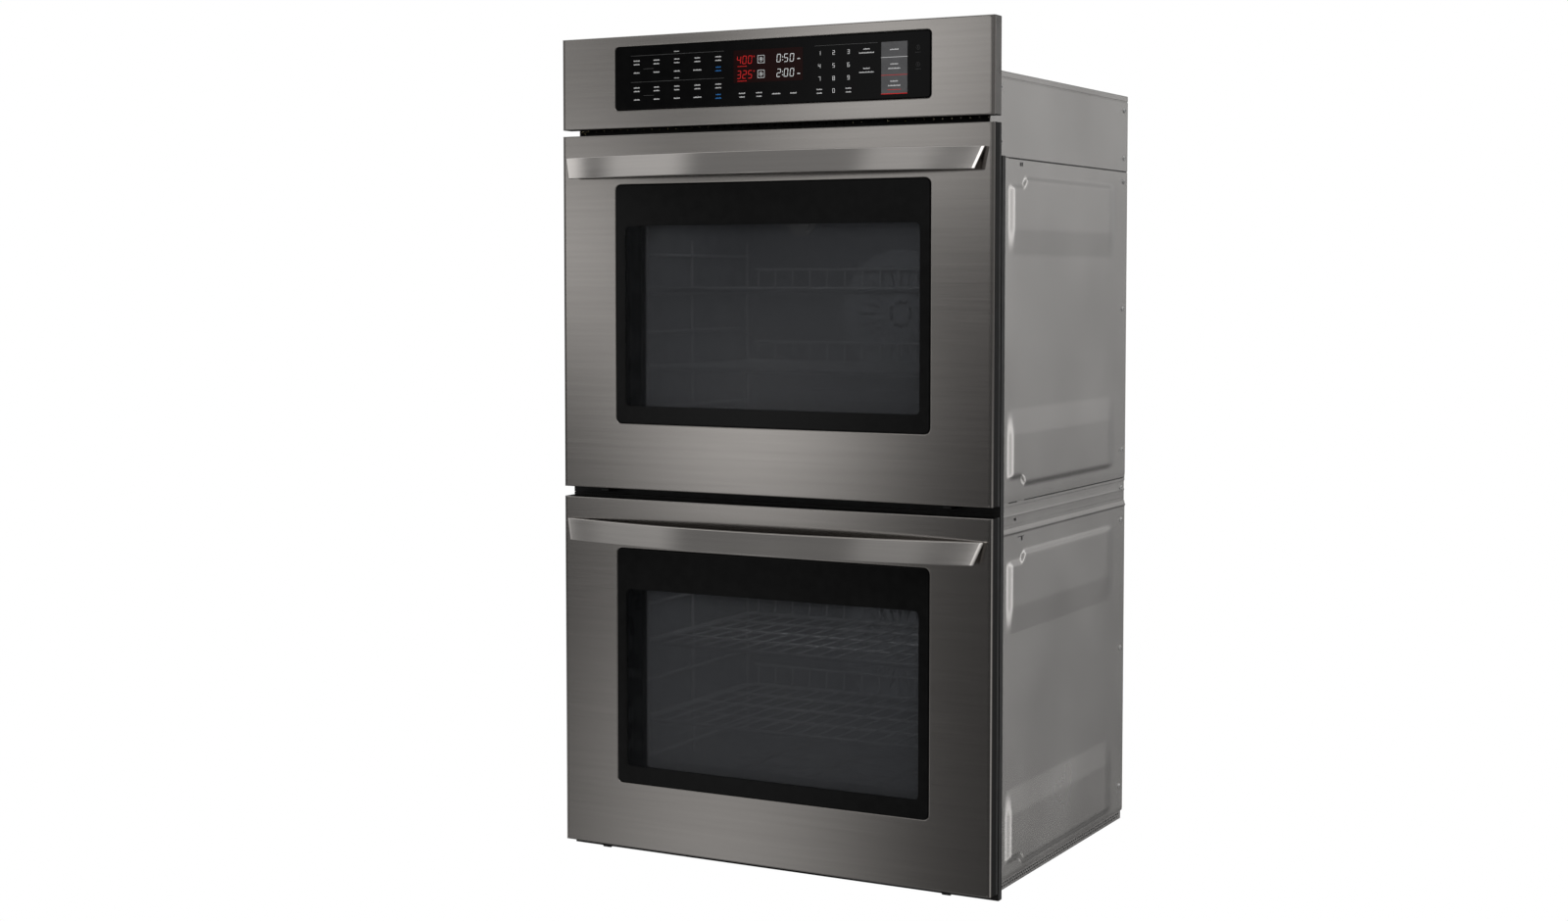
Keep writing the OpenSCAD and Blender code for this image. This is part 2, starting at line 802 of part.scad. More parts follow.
// The short posts that hold the blade to the door.
module handle_posts() {
    difference() {
        for (x = [-325, 325])
            rod_y(x, y_front - 34, y_front, handle_z + handle_h / 2, 9);
        bow(bow_r + 60, bow_r - handle_t, handle_z - 5, handle_z + handle_h + 5);
    }
}

// The two hinge arms with their pins, which turn in the frame's ears.
module hinge_arms() {
    inner = ear_t / 2 + arm_gap;
    liner_front = y_front + door_t - 1.5 - hinge_y;
    for (s = [-1, 1])
        translate([s * hinge_x, hinge_y, -hinge_drop]) {
            rod_x(-inner - arm_t, inner + arm_t, 0, 0, hinge_r);
            for (x = [-inner - arm_t, inner]) {
                rod_x(x, x + arm_t, 0, 0, knuckle_r);
                span([x, -2, 0], [x + arm_t, 4, 140]);
            }
            span([-inner - arm_t, 0, 100], [inner + arm_t, liner_front - 0.1, 140]);
        }
}

module upper_door_skin() {
    color(steel) translate([0, 0, up_z]) door_skin();
}

module lower_door_skin() {
    color(steel) translate([0, 0, low_z]) door_skin();
}

module upper_door_trims() {
    color([0.08, 0.08, 0.08]) translate([0, 0, up_z]) door_trims();
}

module lower_door_trims() {
    color([0.08, 0.08, 0.08]) translate([0, 0, low_z]) door_trims();
}

module upper_outer_glass() {
    color([0.05, 0.05, 0.05, 0.6]) translate([0, 0, up_z]) door_glass();
}

module lower_outer_glass() {
    color([0.05, 0.05, 0.05, 0.6]) translate([0, 0, low_z]) door_glass();
}

module upper_middle_glass() {
    color([0.3, 0.35, 0.4, 0.4]) translate([0, 0, up_z]) door_middle_glass();
}

module lower_middle_glass() {
    color([0.3, 0.35, 0.4, 0.4]) translate([0, 0, low_z]) door_middle_glass();
}

module upper_inner_glass() {
    color([0.3, 0.35, 0.4, 0.4]) translate([0, 0, up_z]) door_inner_glass();
}

module lower_inner_glass() {
    color([0.3, 0.35, 0.4, 0.4]) translate([0, 0, low_z]) door_inner_glass();
}

module upper_door_liner() {
    color([0.14, 0.15, 0.17]) translate([0, 0, up_z]) door_liner();
}

module lower_door_liner() {
    color([0.14, 0.15, 0.17]) translate([0, 0, low_z]) door_liner();
}

module upper_handle() {
    color([0.62, 0.60, 0.57]) translate([0, 0, up_z]) handle();
}

module lower_handle() {
    color([0.62, 0.60, 0.57]) translate([0, 0, low_z]) handle();
}

module upper_handle_posts() {
    color([0.5, 0.5, 0.5]) translate([0, 0, up_z]) handle_posts();
}

module lower_handle_posts() {
    color([0.5, 0.5, 0.5]) translate([0, 0, low_z]) handle_posts();
}

module upper_hinge_arms() {
    color([0.7, 0.7, 0.7]) translate([0, 0, up_z]) hinge_arms();
}

module lower_hinge_arms() {
    color([0.7, 0.7, 0.7]) translate([0, 0, low_z]) hinge_arms();
}

// ---- what is drawn ---------------------------------------------------------

control_fascia();
control_glass();
control_board();
control_back();
top_cover();
upper_sides();
lower_sides();
upper_back();
lower_back();
base_tray();
middle_shelf();
upper_frame();
lower_frame();
upper_cavity();
lower_cavity();
upper_gasket();
lower_gasket();
upper_fan_cover();
lower_fan_cover();
upper_bake_element();
lower_bake_element();
upper_broil_element();
lower_broil_element();
fan_motors();
blower_housing();
oven_lamps();
upper_rack_guides();
lower_rack_guides();
latch_motors();
supply_gland();
terminal_cover();
insulation();
case_screws();
blower_wheel();
upper_fan();
lower_fan();
upper_latch();
lower_latch();
upper_rack_a();
upper_rack_b();
lower_rack_a();
lower_rack_b();
upper_door_skin();
upper_door_trims();
upper_outer_glass();
upper_middle_glass();
upper_inner_glass();
upper_door_liner();
upper_handle();
upper_handle_posts();
upper_hinge_arms();
lower_door_skin();
lower_door_trims();
lower_outer_glass();
lower_middle_glass();
lower_inner_glass();
lower_door_liner();
lower_handle();
lower_handle_posts();
lower_hinge_arms();
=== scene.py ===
"""Looks of the built-in double wall oven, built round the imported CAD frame."""

import math

import bmesh
import bpy
from mathutils import Matrix, Vector


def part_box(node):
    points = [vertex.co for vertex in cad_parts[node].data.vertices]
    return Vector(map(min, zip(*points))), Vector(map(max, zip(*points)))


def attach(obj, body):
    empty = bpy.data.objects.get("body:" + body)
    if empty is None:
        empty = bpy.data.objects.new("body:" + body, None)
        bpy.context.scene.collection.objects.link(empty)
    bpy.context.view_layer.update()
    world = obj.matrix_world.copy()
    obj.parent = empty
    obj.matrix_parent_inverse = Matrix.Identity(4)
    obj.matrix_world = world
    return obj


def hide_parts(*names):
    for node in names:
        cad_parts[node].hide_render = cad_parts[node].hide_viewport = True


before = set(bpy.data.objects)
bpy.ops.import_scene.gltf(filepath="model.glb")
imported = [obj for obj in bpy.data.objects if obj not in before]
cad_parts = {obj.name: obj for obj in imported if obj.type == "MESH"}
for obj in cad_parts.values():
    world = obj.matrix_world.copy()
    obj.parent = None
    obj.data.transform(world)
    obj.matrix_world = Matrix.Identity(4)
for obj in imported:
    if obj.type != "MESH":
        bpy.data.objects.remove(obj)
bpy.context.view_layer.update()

MM = 0.001
OVENS = ("upper", "lower")


# ---- places taken from the frame, in metres ----

FRONT_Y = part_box("upper_door_skin")[0].y  # front plane of doors and panel
COVER_LO, COVER_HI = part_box("top_cover")
CASE_X = COVER_HI.x  # half the width of the case
PANEL_LO, PANEL_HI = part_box("control_fascia")
TOUCH_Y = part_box("control_glass")[0].y  # front plane of the control glass


# ---- new objects ----

def new_object(name, data):
    """Puts a new object in the scene."""
    made = bpy.data.objects.new(name, data)
    bpy.context.scene.collection.objects.link(made)
    return made


# ---- camera ----

CAMERA_FROM_FRONT = Vector((1.6728, -3.0364, -0.3847))  # from the panel's top centre
CAMERA_YAW = math.radians(28.426)
CAMERA_PITCH = math.radians(3.2)
CAMERA_LENS = 51.538
CAMERA_SHIFT = -0.0356


def make_camera():
    data = bpy.data.cameras.new("camera")
    data.lens = CAMERA_LENS
    data.sensor_width = 36
    data.shift_y = CAMERA_SHIFT
    camera = new_object("camera", data)
    camera.location = Vector((0, FRONT_Y, PANEL_HI.z)) + CAMERA_FROM_FRONT
    camera.rotation_euler = (math.pi / 2 - CAMERA_PITCH, 0, CAMERA_YAW)
    bpy.context.scene.camera = camera


make_camera()


# ---- materials ----

class Nodes:
    """A node tree under construction."""

    def __init__(self, tree):
        self.tree = tree

    def feed(self, socket, source):
        """Links an output to a socket, or sets the socket's value."""
        if isinstance(source, bpy.types.NodeSocket):
            self.tree.links.new(source, socket)
        else:
            socket.default_value = source

    def add(self, kind, inputs, output=0, **settings):
        """Adds a node with values or links at its inputs and returns one of its outputs."""
        made = self.tree.nodes.new(kind)
        for key, value in settings.items():
            setattr(made, key, value)
        for key, source in inputs.items():
            self.feed(made.inputs[key], source)
        return made.outputs[output]

    def ramp(self, factor, stops):
        """A ramp of (place, colour) stops; a single number stands for a grey."""
        made = self.add("ShaderNodeValToRGB", {"Fac": factor}, "Color")
        elements = made.node.color_ramp.elements
        while len(elements) < len(stops):
            elements.new(0.5)
        for element, (place, colour) in zip(elements, stops):
            element.position = place
            element.color = (colour, colour, colour, 1) if isinstance(colour, float) else (*colour, 1)
        return made


class Shade(Nodes):
    """A material: one Principled shader and the nodes that feed it."""

    def __init__(self, name, **inputs):
        self.material = bpy.data.materials.new(name)
        self.material.use_nodes = True
        super().__init__(self.material.node_tree)
        self.bsdf = self.tree.nodes["Principled BSDF"]
        self.set(**inputs)

    def set(self, **inputs):
        for key, source in inputs.items():
            self.feed(self.bsdf.inputs[key.replace("_", " ")], source)

    def noise(self, scale, stretch=(1, 1, 1), detail=4.0, roughness=0.5):
        place = self.add("ShaderNodeTexCoord", {}, "Object")
        stretched = self.add("ShaderNodeMapping", {"Vector": place, "Scale": stretch})
        return self.add("ShaderNodeTexNoise", {"Vector": stretched, "Scale": scale, "Detail": detail,
                                               "Roughness": roughness}, "Fac")

    def span(self, factor, low, high):
        return self.add("ShaderNodeMapRange", {"Value": factor, "From Min": 0.25, "From Max": 0.75,
                                               "To Min": low, "To Max": high}, "Result")

    def bump(self, height, strength, distance):
        self.set(Normal=self.add("ShaderNodeBump", {"Height": height, "Strength": strength,
                                                    "Distance": distance}, "Normal"))


def brushed(name, dark, light, low, high, grain, stretch):
    """Metal brushed along its length: fine horizontal lines in colour, gloss and relief."""
    shade = Shade(name, Metallic=1.0, Anisotropic=stretch, Anisotropic_Rotation=0.25)
    fine = shade.noise(4.0, (3, 3, 330), detail=6.0, roughness=0.65)
    broad = shade.noise(3.0, (1.0, 1.0, 45), detail=5.0)
    both = shade.add("ShaderNodeMix", {"Factor": 0.5, "A": fine, "B": broad}, "Result")
    shade.set(Base_Color=shade.ramp(both, [(0.34, dark), (0.66, light)]))
    shade.set(Roughness=shade.span(fine, low, high))
    shade.bump(fine, 0.3, grain)
    return shade.material


def mottled(name, dark, light, low=0.4, high=0.6, metallic=0.0, scale=60, relief=0.0, **constants):
    """An even finish with slight cloudy variation and a fine texture."""
    shade = Shade(name, Metallic=metallic, **constants)
    cloud = shade.noise(scale, detail=5.0)
    shade.set(Base_Color=shade.ramp(cloud, [(0.3, dark), (0.7, light)]))
    shade.set(Roughness=shade.span(cloud, low, high))
    if relief:
        shade.bump(shade.noise(scale * 12, detail=2.0), 0.3, relief)
    return shade.material


def speckled(name, ground, fleck):
    """Glossy oven enamel with fine pale flecks."""
    shade = Shade(name, Coat_Weight=0.3, Coat_Roughness=0.15)
    flecks = shade.noise(900.0, detail=2.0)
    shade.set(Base_Color=shade.ramp(flecks, [(0.60, ground), (0.68, fleck)]))
    shade.set(Roughness=shade.span(shade.noise(25.0), 0.22, 0.34))
    shade.bump(shade.noise(140.0), 0.12, 0.0002)
    return shade.material


def pane(name, tint, share, gloss=(0.008, 0.009, 0.010)):
    """Flat glass that lets light straight through: a share of a Principled layer mixed with a clear tint; a
    pale base colour turns that layer into a painted veil of light.
    """
    shade = Shade(name, Specular_IOR_Level=0.22)
    smudge = shade.noise(5.0, detail=5.0)
    lighter = tuple(min(1.3 * value, 1) for value in gloss)
    shade.set(Base_Color=shade.ramp(smudge, [(0.3, gloss), (0.7, lighter)]))
    shade.set(Roughness=shade.span(smudge, 0.02, 0.05))
    clear = shade.add("ShaderNodeBsdfTransparent", {"Color": (*tint, 1.0)})
    mix = shade.add("ShaderNodeMixShader", {0: share, 1: clear, 2: shade.bsdf.outputs["BSDF"]})
    shade.feed(shade.tree.nodes["Material Output"].inputs["Surface"], mix)
    return shade.material


STEEL = brushed("dark_steel", (0.298, 0.282, 0.267), (0.336, 0.319, 0.303), 0.12, 0.16, 0.000005, 0.5)
STEEL_SATIN = brushed("handle_steel", (0.48, 0.458, 0.44), (0.53, 0.507, 0.483), 0.09, 0.12, 0.000005, 0.4)
# Near-black copy of the skin steel for the turned-back edges of doors and panel: painted shade.
STEEL_PAINTED_SHADE = mottled("steel_return_painted_shade", (0.006, 0.0057, 0.0054), (0.01, 0.0095, 0.009), 0.4, 0.5,
                     Specular_IOR_Level=0.06)
# Darker copy of the fascia steel for the control panel's turned-back sides: painted shade.
PANEL_STEEL_PAINTED_SHADE = mottled("panel_return_painted_shade", (0.1, 0.095, 0.09), (0.13, 0.124, 0.117), 0.25, 0.35, metallic=1.0)
GALVANISED = mottled("case_sheet", (0.445, 0.43, 0.415), (0.475, 0.46, 0.445), 0.22, 0.28, metallic=0.8,
                     scale=5)
BLACK_SHEET = mottled("black_sheet", 0.007, (0.012, 0.011, 0.01), 0.4, 0.55, relief=0.00005,
                      Specular_IOR_Level=0.3)
BLACK_PLASTIC = mottled("black_plastic", 0.015, (0.025, 0.025, 0.024), 0.45, 0.6, relief=0.00008)
ENAMEL = speckled("oven_enamel", (0.05, 0.052, 0.056), (0.2, 0.205, 0.215))
FAN_ENAMEL = speckled("fan_cover_enamel", (0.13, 0.135, 0.14), (0.3, 0.305, 0.315))
WIRE = mottled("rack_wire", 0.46, 0.55, 0.36, 0.48, metallic=0.7)
ELEMENT = mottled("element_tube", (0.03, 0.03, 0.032), (0.07, 0.065, 0.06), 0.5, 0.7, metallic=0.4,
                  relief=0.00006)
ZINC = mottled("zinc_plate", 0.5, (0.64, 0.64, 0.63), 0.28, 0.42, metallic=0.9, scale=45)
ALUMINIUM = mottled("fan_blade", (0.55, 0.55, 0.56), (0.66, 0.66, 0.67), 0.3, 0.42, metallic=0.95)
GASKET = mottled("glass_fibre", 0.02, (0.07, 0.07, 0.068), 0.8, 0.95, scale=300, relief=0.0006)
WOOL = mottled("mineral_wool", (0.5, 0.44, 0.26), (0.74, 0.67, 0.43), 0.9, 1.0, scale=50, relief=0.001)
BOARD = mottled("circuit_board", (0.006, 0.05, 0.02), (0.012, 0.085, 0.035), 0.35, 0.5)
LENS = mottled("lamp_lens", (0.16, 0.155, 0.14), (0.22, 0.21, 0.19), 0.12, 0.25)
FRIT = mottled("glass_border", 0.007, 0.01, 0.12, 0.16, Specular_IOR_Level=0.09)
TOUCH_GLASS = mottled("touch_glass", (0.003, 0.003, 0.0032), (0.0048, 0.0048, 0.005), 0.06, 0.1,
                      Specular_IOR_Level=0.06)
CLEAR = pane("door_pane", (0.8, 0.805, 0.815), 0.2)
CLEAR_MIDDLE = pane("middle_pane", (0.86, 0.865, 0.87), 0.1)
# The middle pane's window zone and the inner pane have a pale base colour that lights up as a veil over the
# window: painted light.
CLEAR_PAINTED_LIGHT = pane("painted_light_pane", (0.9, 0.905, 0.91), 0.2, gloss=(0.92, 0.922, 0.95))
CLEAR_INNER_PAINTED_LIGHT = pane("inner_pane_painted_light", (0.9, 0.905, 0.91), 0.2, gloss=(0.5, 0.502, 0.52))

# The white and the blue print glow a little though they are no lamp: painted light.
PRINT_PAINTED_GLOW = mottled("panel_print", 0.42, 0.52, 0.5, 0.6, Emission_Color=(1, 1, 1, 1), Emission_Strength=0.32)
PRINT_GREY = mottled("panel_rule_print", 0.1, 0.14, 0.5, 0.6)
PRINT_BLUE_PAINTED_GLOW = mottled("panel_print_blue", (0.02, 0.16, 0.42), (0.03, 0.2, 0.5), 0.5, 0.6,
                     Emission_Color=(0.02, 0.25, 0.8, 1), Emission_Strength=0.2)
PRINT_FAINT = mottled("panel_print_faint", 0.03, 0.045, 0.5, 0.6)
KEY_GREY = mottled("touch_key", (0.14, 0.14, 0.145), (0.17, 0.17, 0.175), 0.35, 0.45)
DISPLAY_RED = mottled("display_red", (0.2, 0.004, 0.004), (0.26, 0.006, 0.005), 0.4, 0.5,
                      Emission_Color=(1.0, 0.015, 0.015, 1), Emission_Strength=0.5)
DISPLAY_PALE = mottled("display_pale", 0.5, 0.6, 0.4, 0.5, Emission_Color=(0.85, 0.9, 0.9, 1),
                       Emission_Strength=0.6)
DISPLAY_RED_DIM = mottled("display_window", (0.006, 0.003, 0.003), (0.009, 0.0035, 0.0035), 0.06, 0.1,
                          Specular_IOR_Level=0.06, Emission_Color=(0.35, 0.02, 0.01, 1),
                          Emission_Strength=0.015)

NODE_LOOKS = {
    "control_back fan_motors blower_housing latch_motors supply_gland case_screws latch": ZINC,
    "top_cover sides back base_tray middle_shelf terminal_cover": GALVANISED,
    "control_fascia door_skin": STEEL, "handle handle_posts": STEEL_SATIN,
    "frame hinge_arms": BLACK_SHEET, "door_trims": BLACK_PLASTIC,
    "cavity door_liner": ENAMEL, "fan_cover": FAN_ENAMEL, "blower_wheel fan": ALUMINIUM,
    "rack_guides rack_a rack_b": WIRE, "bake_element broil_element": ELEMENT,
    "control_glass": TOUCH_GLASS, "outer_glass": CLEAR, "middle_glass inner_glass": CLEAR_INNER_PAINTED_LIGHT,
    "control_board": BOARD, "gasket": GASKET, "oven_lamps": LENS, "insulation": WOOL,
}


def dress_frame():
    """Gives every CAD node its material; both ovens' nodes look the same."""
    looks = {kind: look for kinds, look in NODE_LOOKS.items() for kind in kinds.split()}
    for name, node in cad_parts.items():
        kind = name.removeprefix("upper_").removeprefix("lower_")
        node.data.materials.clear()
        node.data.materials.append(looks[kind])


dress_frame()


# ---- mesh helpers ----

SHEET = 1.2  # thickness of sheet metal
CORNER_STEPS = 6
RING = 4 * (CORNER_STEPS + 1)  # points of one rounded outline


def smoothstep(t):
    t = min(max(t, 0), 1)
    return t * t * (3 - 2 * t)


def piece(name, verts, faces, materials, body, slot, replaces=(), angle=35.0, indices=None):
    """Makes a mesh piece in metres and rides it on a body; slot is not used."""
    mesh = new_mesh(name, verts, faces, materials)
    if indices:
        mesh.polygons.foreach_set("material_index", indices)
    settle(name, mesh, body, replaces, angle)


def new_mesh(name, verts, faces, materials):
    mesh = bpy.data.meshes.new(name)
    mesh.from_pydata(verts, [], faces)
    for material in materials:
        mesh.materials.append(material)
    return mesh


def thickened(name, verts, faces, material, offset=-1):
    """The mesh of an open sheet grown to its thickness; an offset of 1 grows it along its normals."""
    made = new_object(name, new_mesh(name, verts, faces, [material]))
    shell = made.modifiers.new("thickness", "SOLIDIFY")
    shell.thickness = SHEET * MM
    shell.offset = offset
    applied(made)
    mesh = made.data
    bpy.data.objects.remove(made)
    return mesh


def settle(name, mesh, body, replaces=(), angle=35.0):
    """Cleans a mesh, shades it and puts its object on a body."""
    work = bmesh.new()
    work.from_mesh(mesh)
    bmesh.ops.remove_doubles(work, verts=work.verts, dist=1e-7)
    bmesh.ops.recalc_face_normals(work, faces=work.faces)
    work.to_mesh(mesh)
    work.free()
    mesh.polygons.foreach_set("use_smooth", [True] * len(mesh.polygons))
    mesh.set_sharp_from_angle(angle=math.radians(angle))
    made = new_object(name, mesh)
    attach(made, body)
    even = made.modifiers.new("even_normals", "WEIGHTED_NORMAL")
    even.keep_sharp = True
    applied(made)
    if replaces:
        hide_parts(*replaces)


def applied(made):
    """Applies an object's modifiers to its mesh."""
    graph = bpy.context.evaluated_depsgraph_get()
    mesh = bpy.data.meshes.new_from_object(made.evaluated_get(graph))
    made.modifiers.clear()
    made.data = mesh


def outline(w, h, r, steps=CORNER_STEPS):
    """Points (x, z, side) round a rectangle about the origin; side is 0 on a level edge, 1 on an upright."""
    points = []
    x, z = w / 2 - r, h / 2 - r
    corners = ((x, z, 90, True), (x, -z, 0, False), (-x, -z, -90, True), (-x, z, 180, False))
    for cx, cz, start, rising in corners:
        for i in range(steps + 1):
            t = i / steps
            a = math.radians(start - 90 * t)
            points.append((cx + r * math.cos(a), cz + r * math.sin(a), t if rising else 1 - t))
    return points


def ring_faces(rings, count, closed=False):
    """Quads that join rings of count points each, and the last ring to the first if closed."""
    faces = []
    for k in range(rings if closed else rings - 1):
        a, b = k * count, (k + 1) % rings * count
        for i in range(count):
            j = (i + 1) % count
            faces.append((a + i, a + j, b + j, b + i))
    return faces


def grid_faces(rows, count):
    """Quads between rows of count points each."""
    return [(i * count + j, i * count + j + 1, (i + 1) * count + j + 1, (i + 1) * count + j)
            for i in range(rows - 1) for j in range(count - 1)]


def end_faces(total, count):
    """The faces that close the first and the last ring of count points."""
    return [tuple(range(count))[::-1], tuple(range(total - count, total))]


def loft(rings, front_y, closed=True):
    """Joins rings (w, h, x, z, depth on uprights, depth on level edges, radius) in millimetres."""
    verts = []
    for w, h, x, z, side_d, level_d, r in rings:
        for px, pz, side in outline(w, h, r):
            d = level_d + (side_d - level_d) * smoothstep(side)
            verts.append(((x + px) * MM, front_y + d * MM, (z + pz) * MM))
    return verts, ring_faces(len(rings), RING, closed)


def merge(parts):
    """Puts several (verts, faces) lists together."""
    verts, faces = [], []
    for part_verts, part_faces in parts:
        start = len(verts)
        verts += part_verts
        faces += [tuple(start + i for i in face) for face in part_faces]
    return verts, faces


def islands(node):
    """The boxes (low, high) of the separate solids in a CAD node."""
    work = bmesh.new()
    work.from_mesh(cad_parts[node].data)
    bmesh.ops.remove_doubles(work, verts=work.verts, dist=1e-6)
    seen, found = set(), []
    for start in work.verts:
        group, queue = [], [start]
        while queue:
            vert = queue.pop()
            if vert not in seen:
                seen.add(vert)
                group.append(vert.co.copy())
                queue += [edge.other_vert(vert) for edge in vert.link_edges]
        if group:
            found.append((Vector(map(min, *group)), Vector(map(max, *group))))
    work.free()
    return found


def circle(centre, normal, cross, radius, sides):
    """Points round a centre in the plane of normal and cross."""
    turns = [2 * math.pi * i / sides for i in range(sides)]
    return [tuple(centre + (normal * math.cos(a) + cross * math.sin(a)) * radius) for a in turns]


def tube(points, radii, sides=10):
    """A round tube along points, with one radius or one for each point."""
    if not isinstance(radii, list):
        radii = [radii] * len(points)
    verts, normal, last = [], None, len(points) - 1
    for k, (point, radius) in enumerate(zip(points, radii)):
        ahead = (points[min(k + 1, last)] - points[max(k - 1, 0)]).normalized()
        if normal is None:
            normal = ahead.orthogonal().normalized()
        normal = (normal - ahead * normal.dot(ahead)).normalized()
        verts += circle(point, normal, ahead.cross(normal), radius, sides)
    return verts, ring_faces(len(points), sides) + end_faces(len(verts), sides)


def lathe(profile, centre, along, turn):
    """A turned shape from (radius, distance along the axis) points."""
    normal = along.orthogonal().normalized()
    cross = along.cross(normal)
    verts = []
    for radius, distance in profile:
        verts += circle(centre + along * distance, normal, cross, radius, turn)
    return verts, ring_faces(len(profile), turn) + end_faces(len(verts), turn)


def slab(lo, hi, bevel=0.0):
    """A box in metres whose edges are cut back by bevel."""
    work = bmesh.new()
    size = hi - lo
    bmesh.ops.create_cube(work, size=1.0, matrix=Matrix.Translation((lo + hi) / 2)
                          @ Matrix.Diagonal((*size, 1.0)))
    if bevel:
        bmesh.ops.bevel(work, geom=work.edges[:], offset=bevel, segments=2, affect="EDGES", profile=0.5)
    work.verts.index_update()
    result = ([tuple(v.co) for v in work.verts], [tuple(v.index for v in f.verts) for f in work.faces])
    work.free()
    return result


def boxes(name, spans, material, body, slot, replaces=()):
    """A piece of boxes (x0, x1, y0, y1, z0, z1, bevel) in millimetres."""
    parts = []
    for x0, x1, y0, y1, z0, z1, bevel in spans:
        parts.append(slab(Vector((x0, y0, z0)) * MM, Vector((x1, y1, z1)) * MM, bevel * MM))
    piece(name, *merge(parts), [material], body, slot, replaces)


# ---- doors and control panel: skins and glass ----

SIDE_BEND = 4.5  # bend radius of a skin's upright edges
LEVEL_BEND = 1.6
GROOVE = 0.55
LIP = 3.0  # how deep the edge of the glass opening turns in
GLASS_GAP = 1.5  # how much wider and higher than the glass the opening is


def skin_rings(w, h, depth, hole):
    """Rings, without x, of a folded skin round a hole (w, h, z above its middle, radius)."""
    hw, hh, hz, hr = hole
    rings = [(hw, hh, hz, LIP, LIP, hr), (hw, hh, hz, 0.8, 0.8, hr),
             (hw + 0.8, hh + 0.8, hz, 0.25, 0.25, hr + 0.4), (hw + 2, hh + 2, hz, 0, 0, hr + 1),
             (hw + 3.5, hh + 3.5, hz, 0, 0, hr + 1.7)]
    for side_in, level_in, groove in ((9, 4, 0), (6.5, 2.7, 0), (6.2, 2.5, 1), (5.6, 2.3, 1), (5.3, 2.1, 0)):
        rings.append((w - 2 * side_in, h - 2 * level_in, 0, groove * GROOVE, 0, 1.0))
    for k in range(7):
        bend = math.radians(15 * k)
        inner, deep = 1 - math.sin(bend), 1 - math.cos(bend)
        rings.append((w - 2 * SIDE_BEND * inner, h - 2 * LEVEL_BEND * inner, 0, SIDE_BEND * deep,
                      LEVEL_BEND * deep, 1.2))
    rings += [(w, h, 0, depth - 0.3, depth - 0.3, 1.2), (w - 0.6, h - 0.6, 0, depth, depth, 1.0),
              (w - 2.4, h - 2.4, 0, depth, depth, 1.0), (w - 2.4, h - 2.4, 0, 6, 6, 1.0),
              (w - 12, h - 6, 0, SHEET, SHEET, 1.0), (hw + 2, hh + 2, hz, SHEET, SHEET, hr + 1)]
    return rings


def make_skin(name, node, glass_node, body, slot, painted_shade_side, radius=9.0):
    """A folded skin of steel whose turned-back edges are painted darker as shade: the upright ones in the
    given side material, the level ones near black.
    """
    lo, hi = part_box(node)
    glass_lo, glass_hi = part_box(glass_node)
    middle = (lo + hi) / 2 / MM
    glass = (glass_lo + glass_hi) / 2 / MM
    size, pane_size = (hi - lo) / MM, (glass_hi - glass_lo) / MM
    hole = (pane_size.x + GLASS_GAP, pane_size.z + GLASS_GAP, glass.z - middle.z, radius)
    rings = skin_rings(size.x, size.z, size.y, hole)
    rings = [(w, h, middle.x, z + middle.z, *rest) for w, h, z, *rest in rings]
    verts, faces = loft(rings, lo.y)
    first = next(k for k, ring in enumerate(rings) if ring[0] == size.x)
    uprights = (RING // 4 - 1, 3 * RING // 4 - 1)  # the faces along a ring's right and left
    # Front faces take the steel; the turned-back faces take the darker painted-shade materials.
    indices = [0 if k // RING < first - 1 else 2 if k % RING in uprights else 1 for k in range(len(faces))]
    piece(name, verts, faces, [STEEL, STEEL_PAINTED_SHADE, painted_shade_side], body, slot, (node,), indices=indices)


WINDOW_ZONE = (518.0, 287.0, 0.0, 171.5)  # clear window: width, height, x, middle above the lower edge
# Zone of the middle pane that carries the pale veil: painted light.
PAINTED_LIGHT_ZONE = (490.0, 296.0, 14.5, 182.0)
ZONE_R = 8.0
PLAIN_EDGE = ((1.5, 0), (0.6, 0), (0.18, 0.18), (0, 0.6), (0, -0.6), (0.6, 0))  # inset, depth
ZONED_EDGE = ((1.6, 0), (0.7, 0), (0.2, 0.2), (0, 0.7), (0, -0.5), (0.4, 0))


def make_pane(name, node, body, slot, radius, materials, zone=None):
    """A pane with ground edges; a zone in its middle has the second material."""
    lo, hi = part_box(node)
    size, middle = (hi - lo) / MM, (hi + lo) / 2 / MM
    rings = []
    for k, (inset, deep) in enumerate(ZONED_EDGE if zone else PLAIN_EDGE):
        depth = deep + size.y if k > 3 else deep  # the last two are set from the pane's back
        rings.append((size.x - 2 * inset, size.z - 2 * inset, middle.x, middle.z, depth, depth,
                      radius - inset))
    if zone:
        w, h, x, z = zone
        z += lo.z / MM
        rings = [(w, h, x, z, 0, 0, ZONE_R), *rings, (w, h, x, z, size.y, size.y, ZONE_R)]
    verts, faces = loft(rings, lo.y, closed=False)
    indices = [0] * len(faces) + [len(materials) - 1] * 2
    faces += end_faces(len(verts), RING)
    piece(name, verts, faces, materials, body, slot, (node,), indices=indices)


# ---- handles ----

BLADE_T = 9.0
BLADE_ROUND = 1.1
BLADE_LOW_HALF = 354.5
BLADE_LEAN = math.tan(math.radians(12))  # the face looks slightly upwards
BLADE_STATIONS = 120
BLADE_EDGE = ((2.0, 0.0), (0.7, 0.5), (0.0, 1.6))  # rounded edge of an end: inset, distance inwards


def blade_section(height, inset):
    """The blade's rounded cross-section as (thickness, height) points, drawn in by inset."""
    points = []
    for t, z, _ in outline(BLADE_T - 2 * inset, height - 2 * inset, max(BLADE_ROUND - inset, 0.3), 4):
        crown = 0.15 * (1 - (2 * z / height) ** 2)
        points.append((t - (crown if t < 0 else 0) + BLADE_LEAN * z, z))
    return points


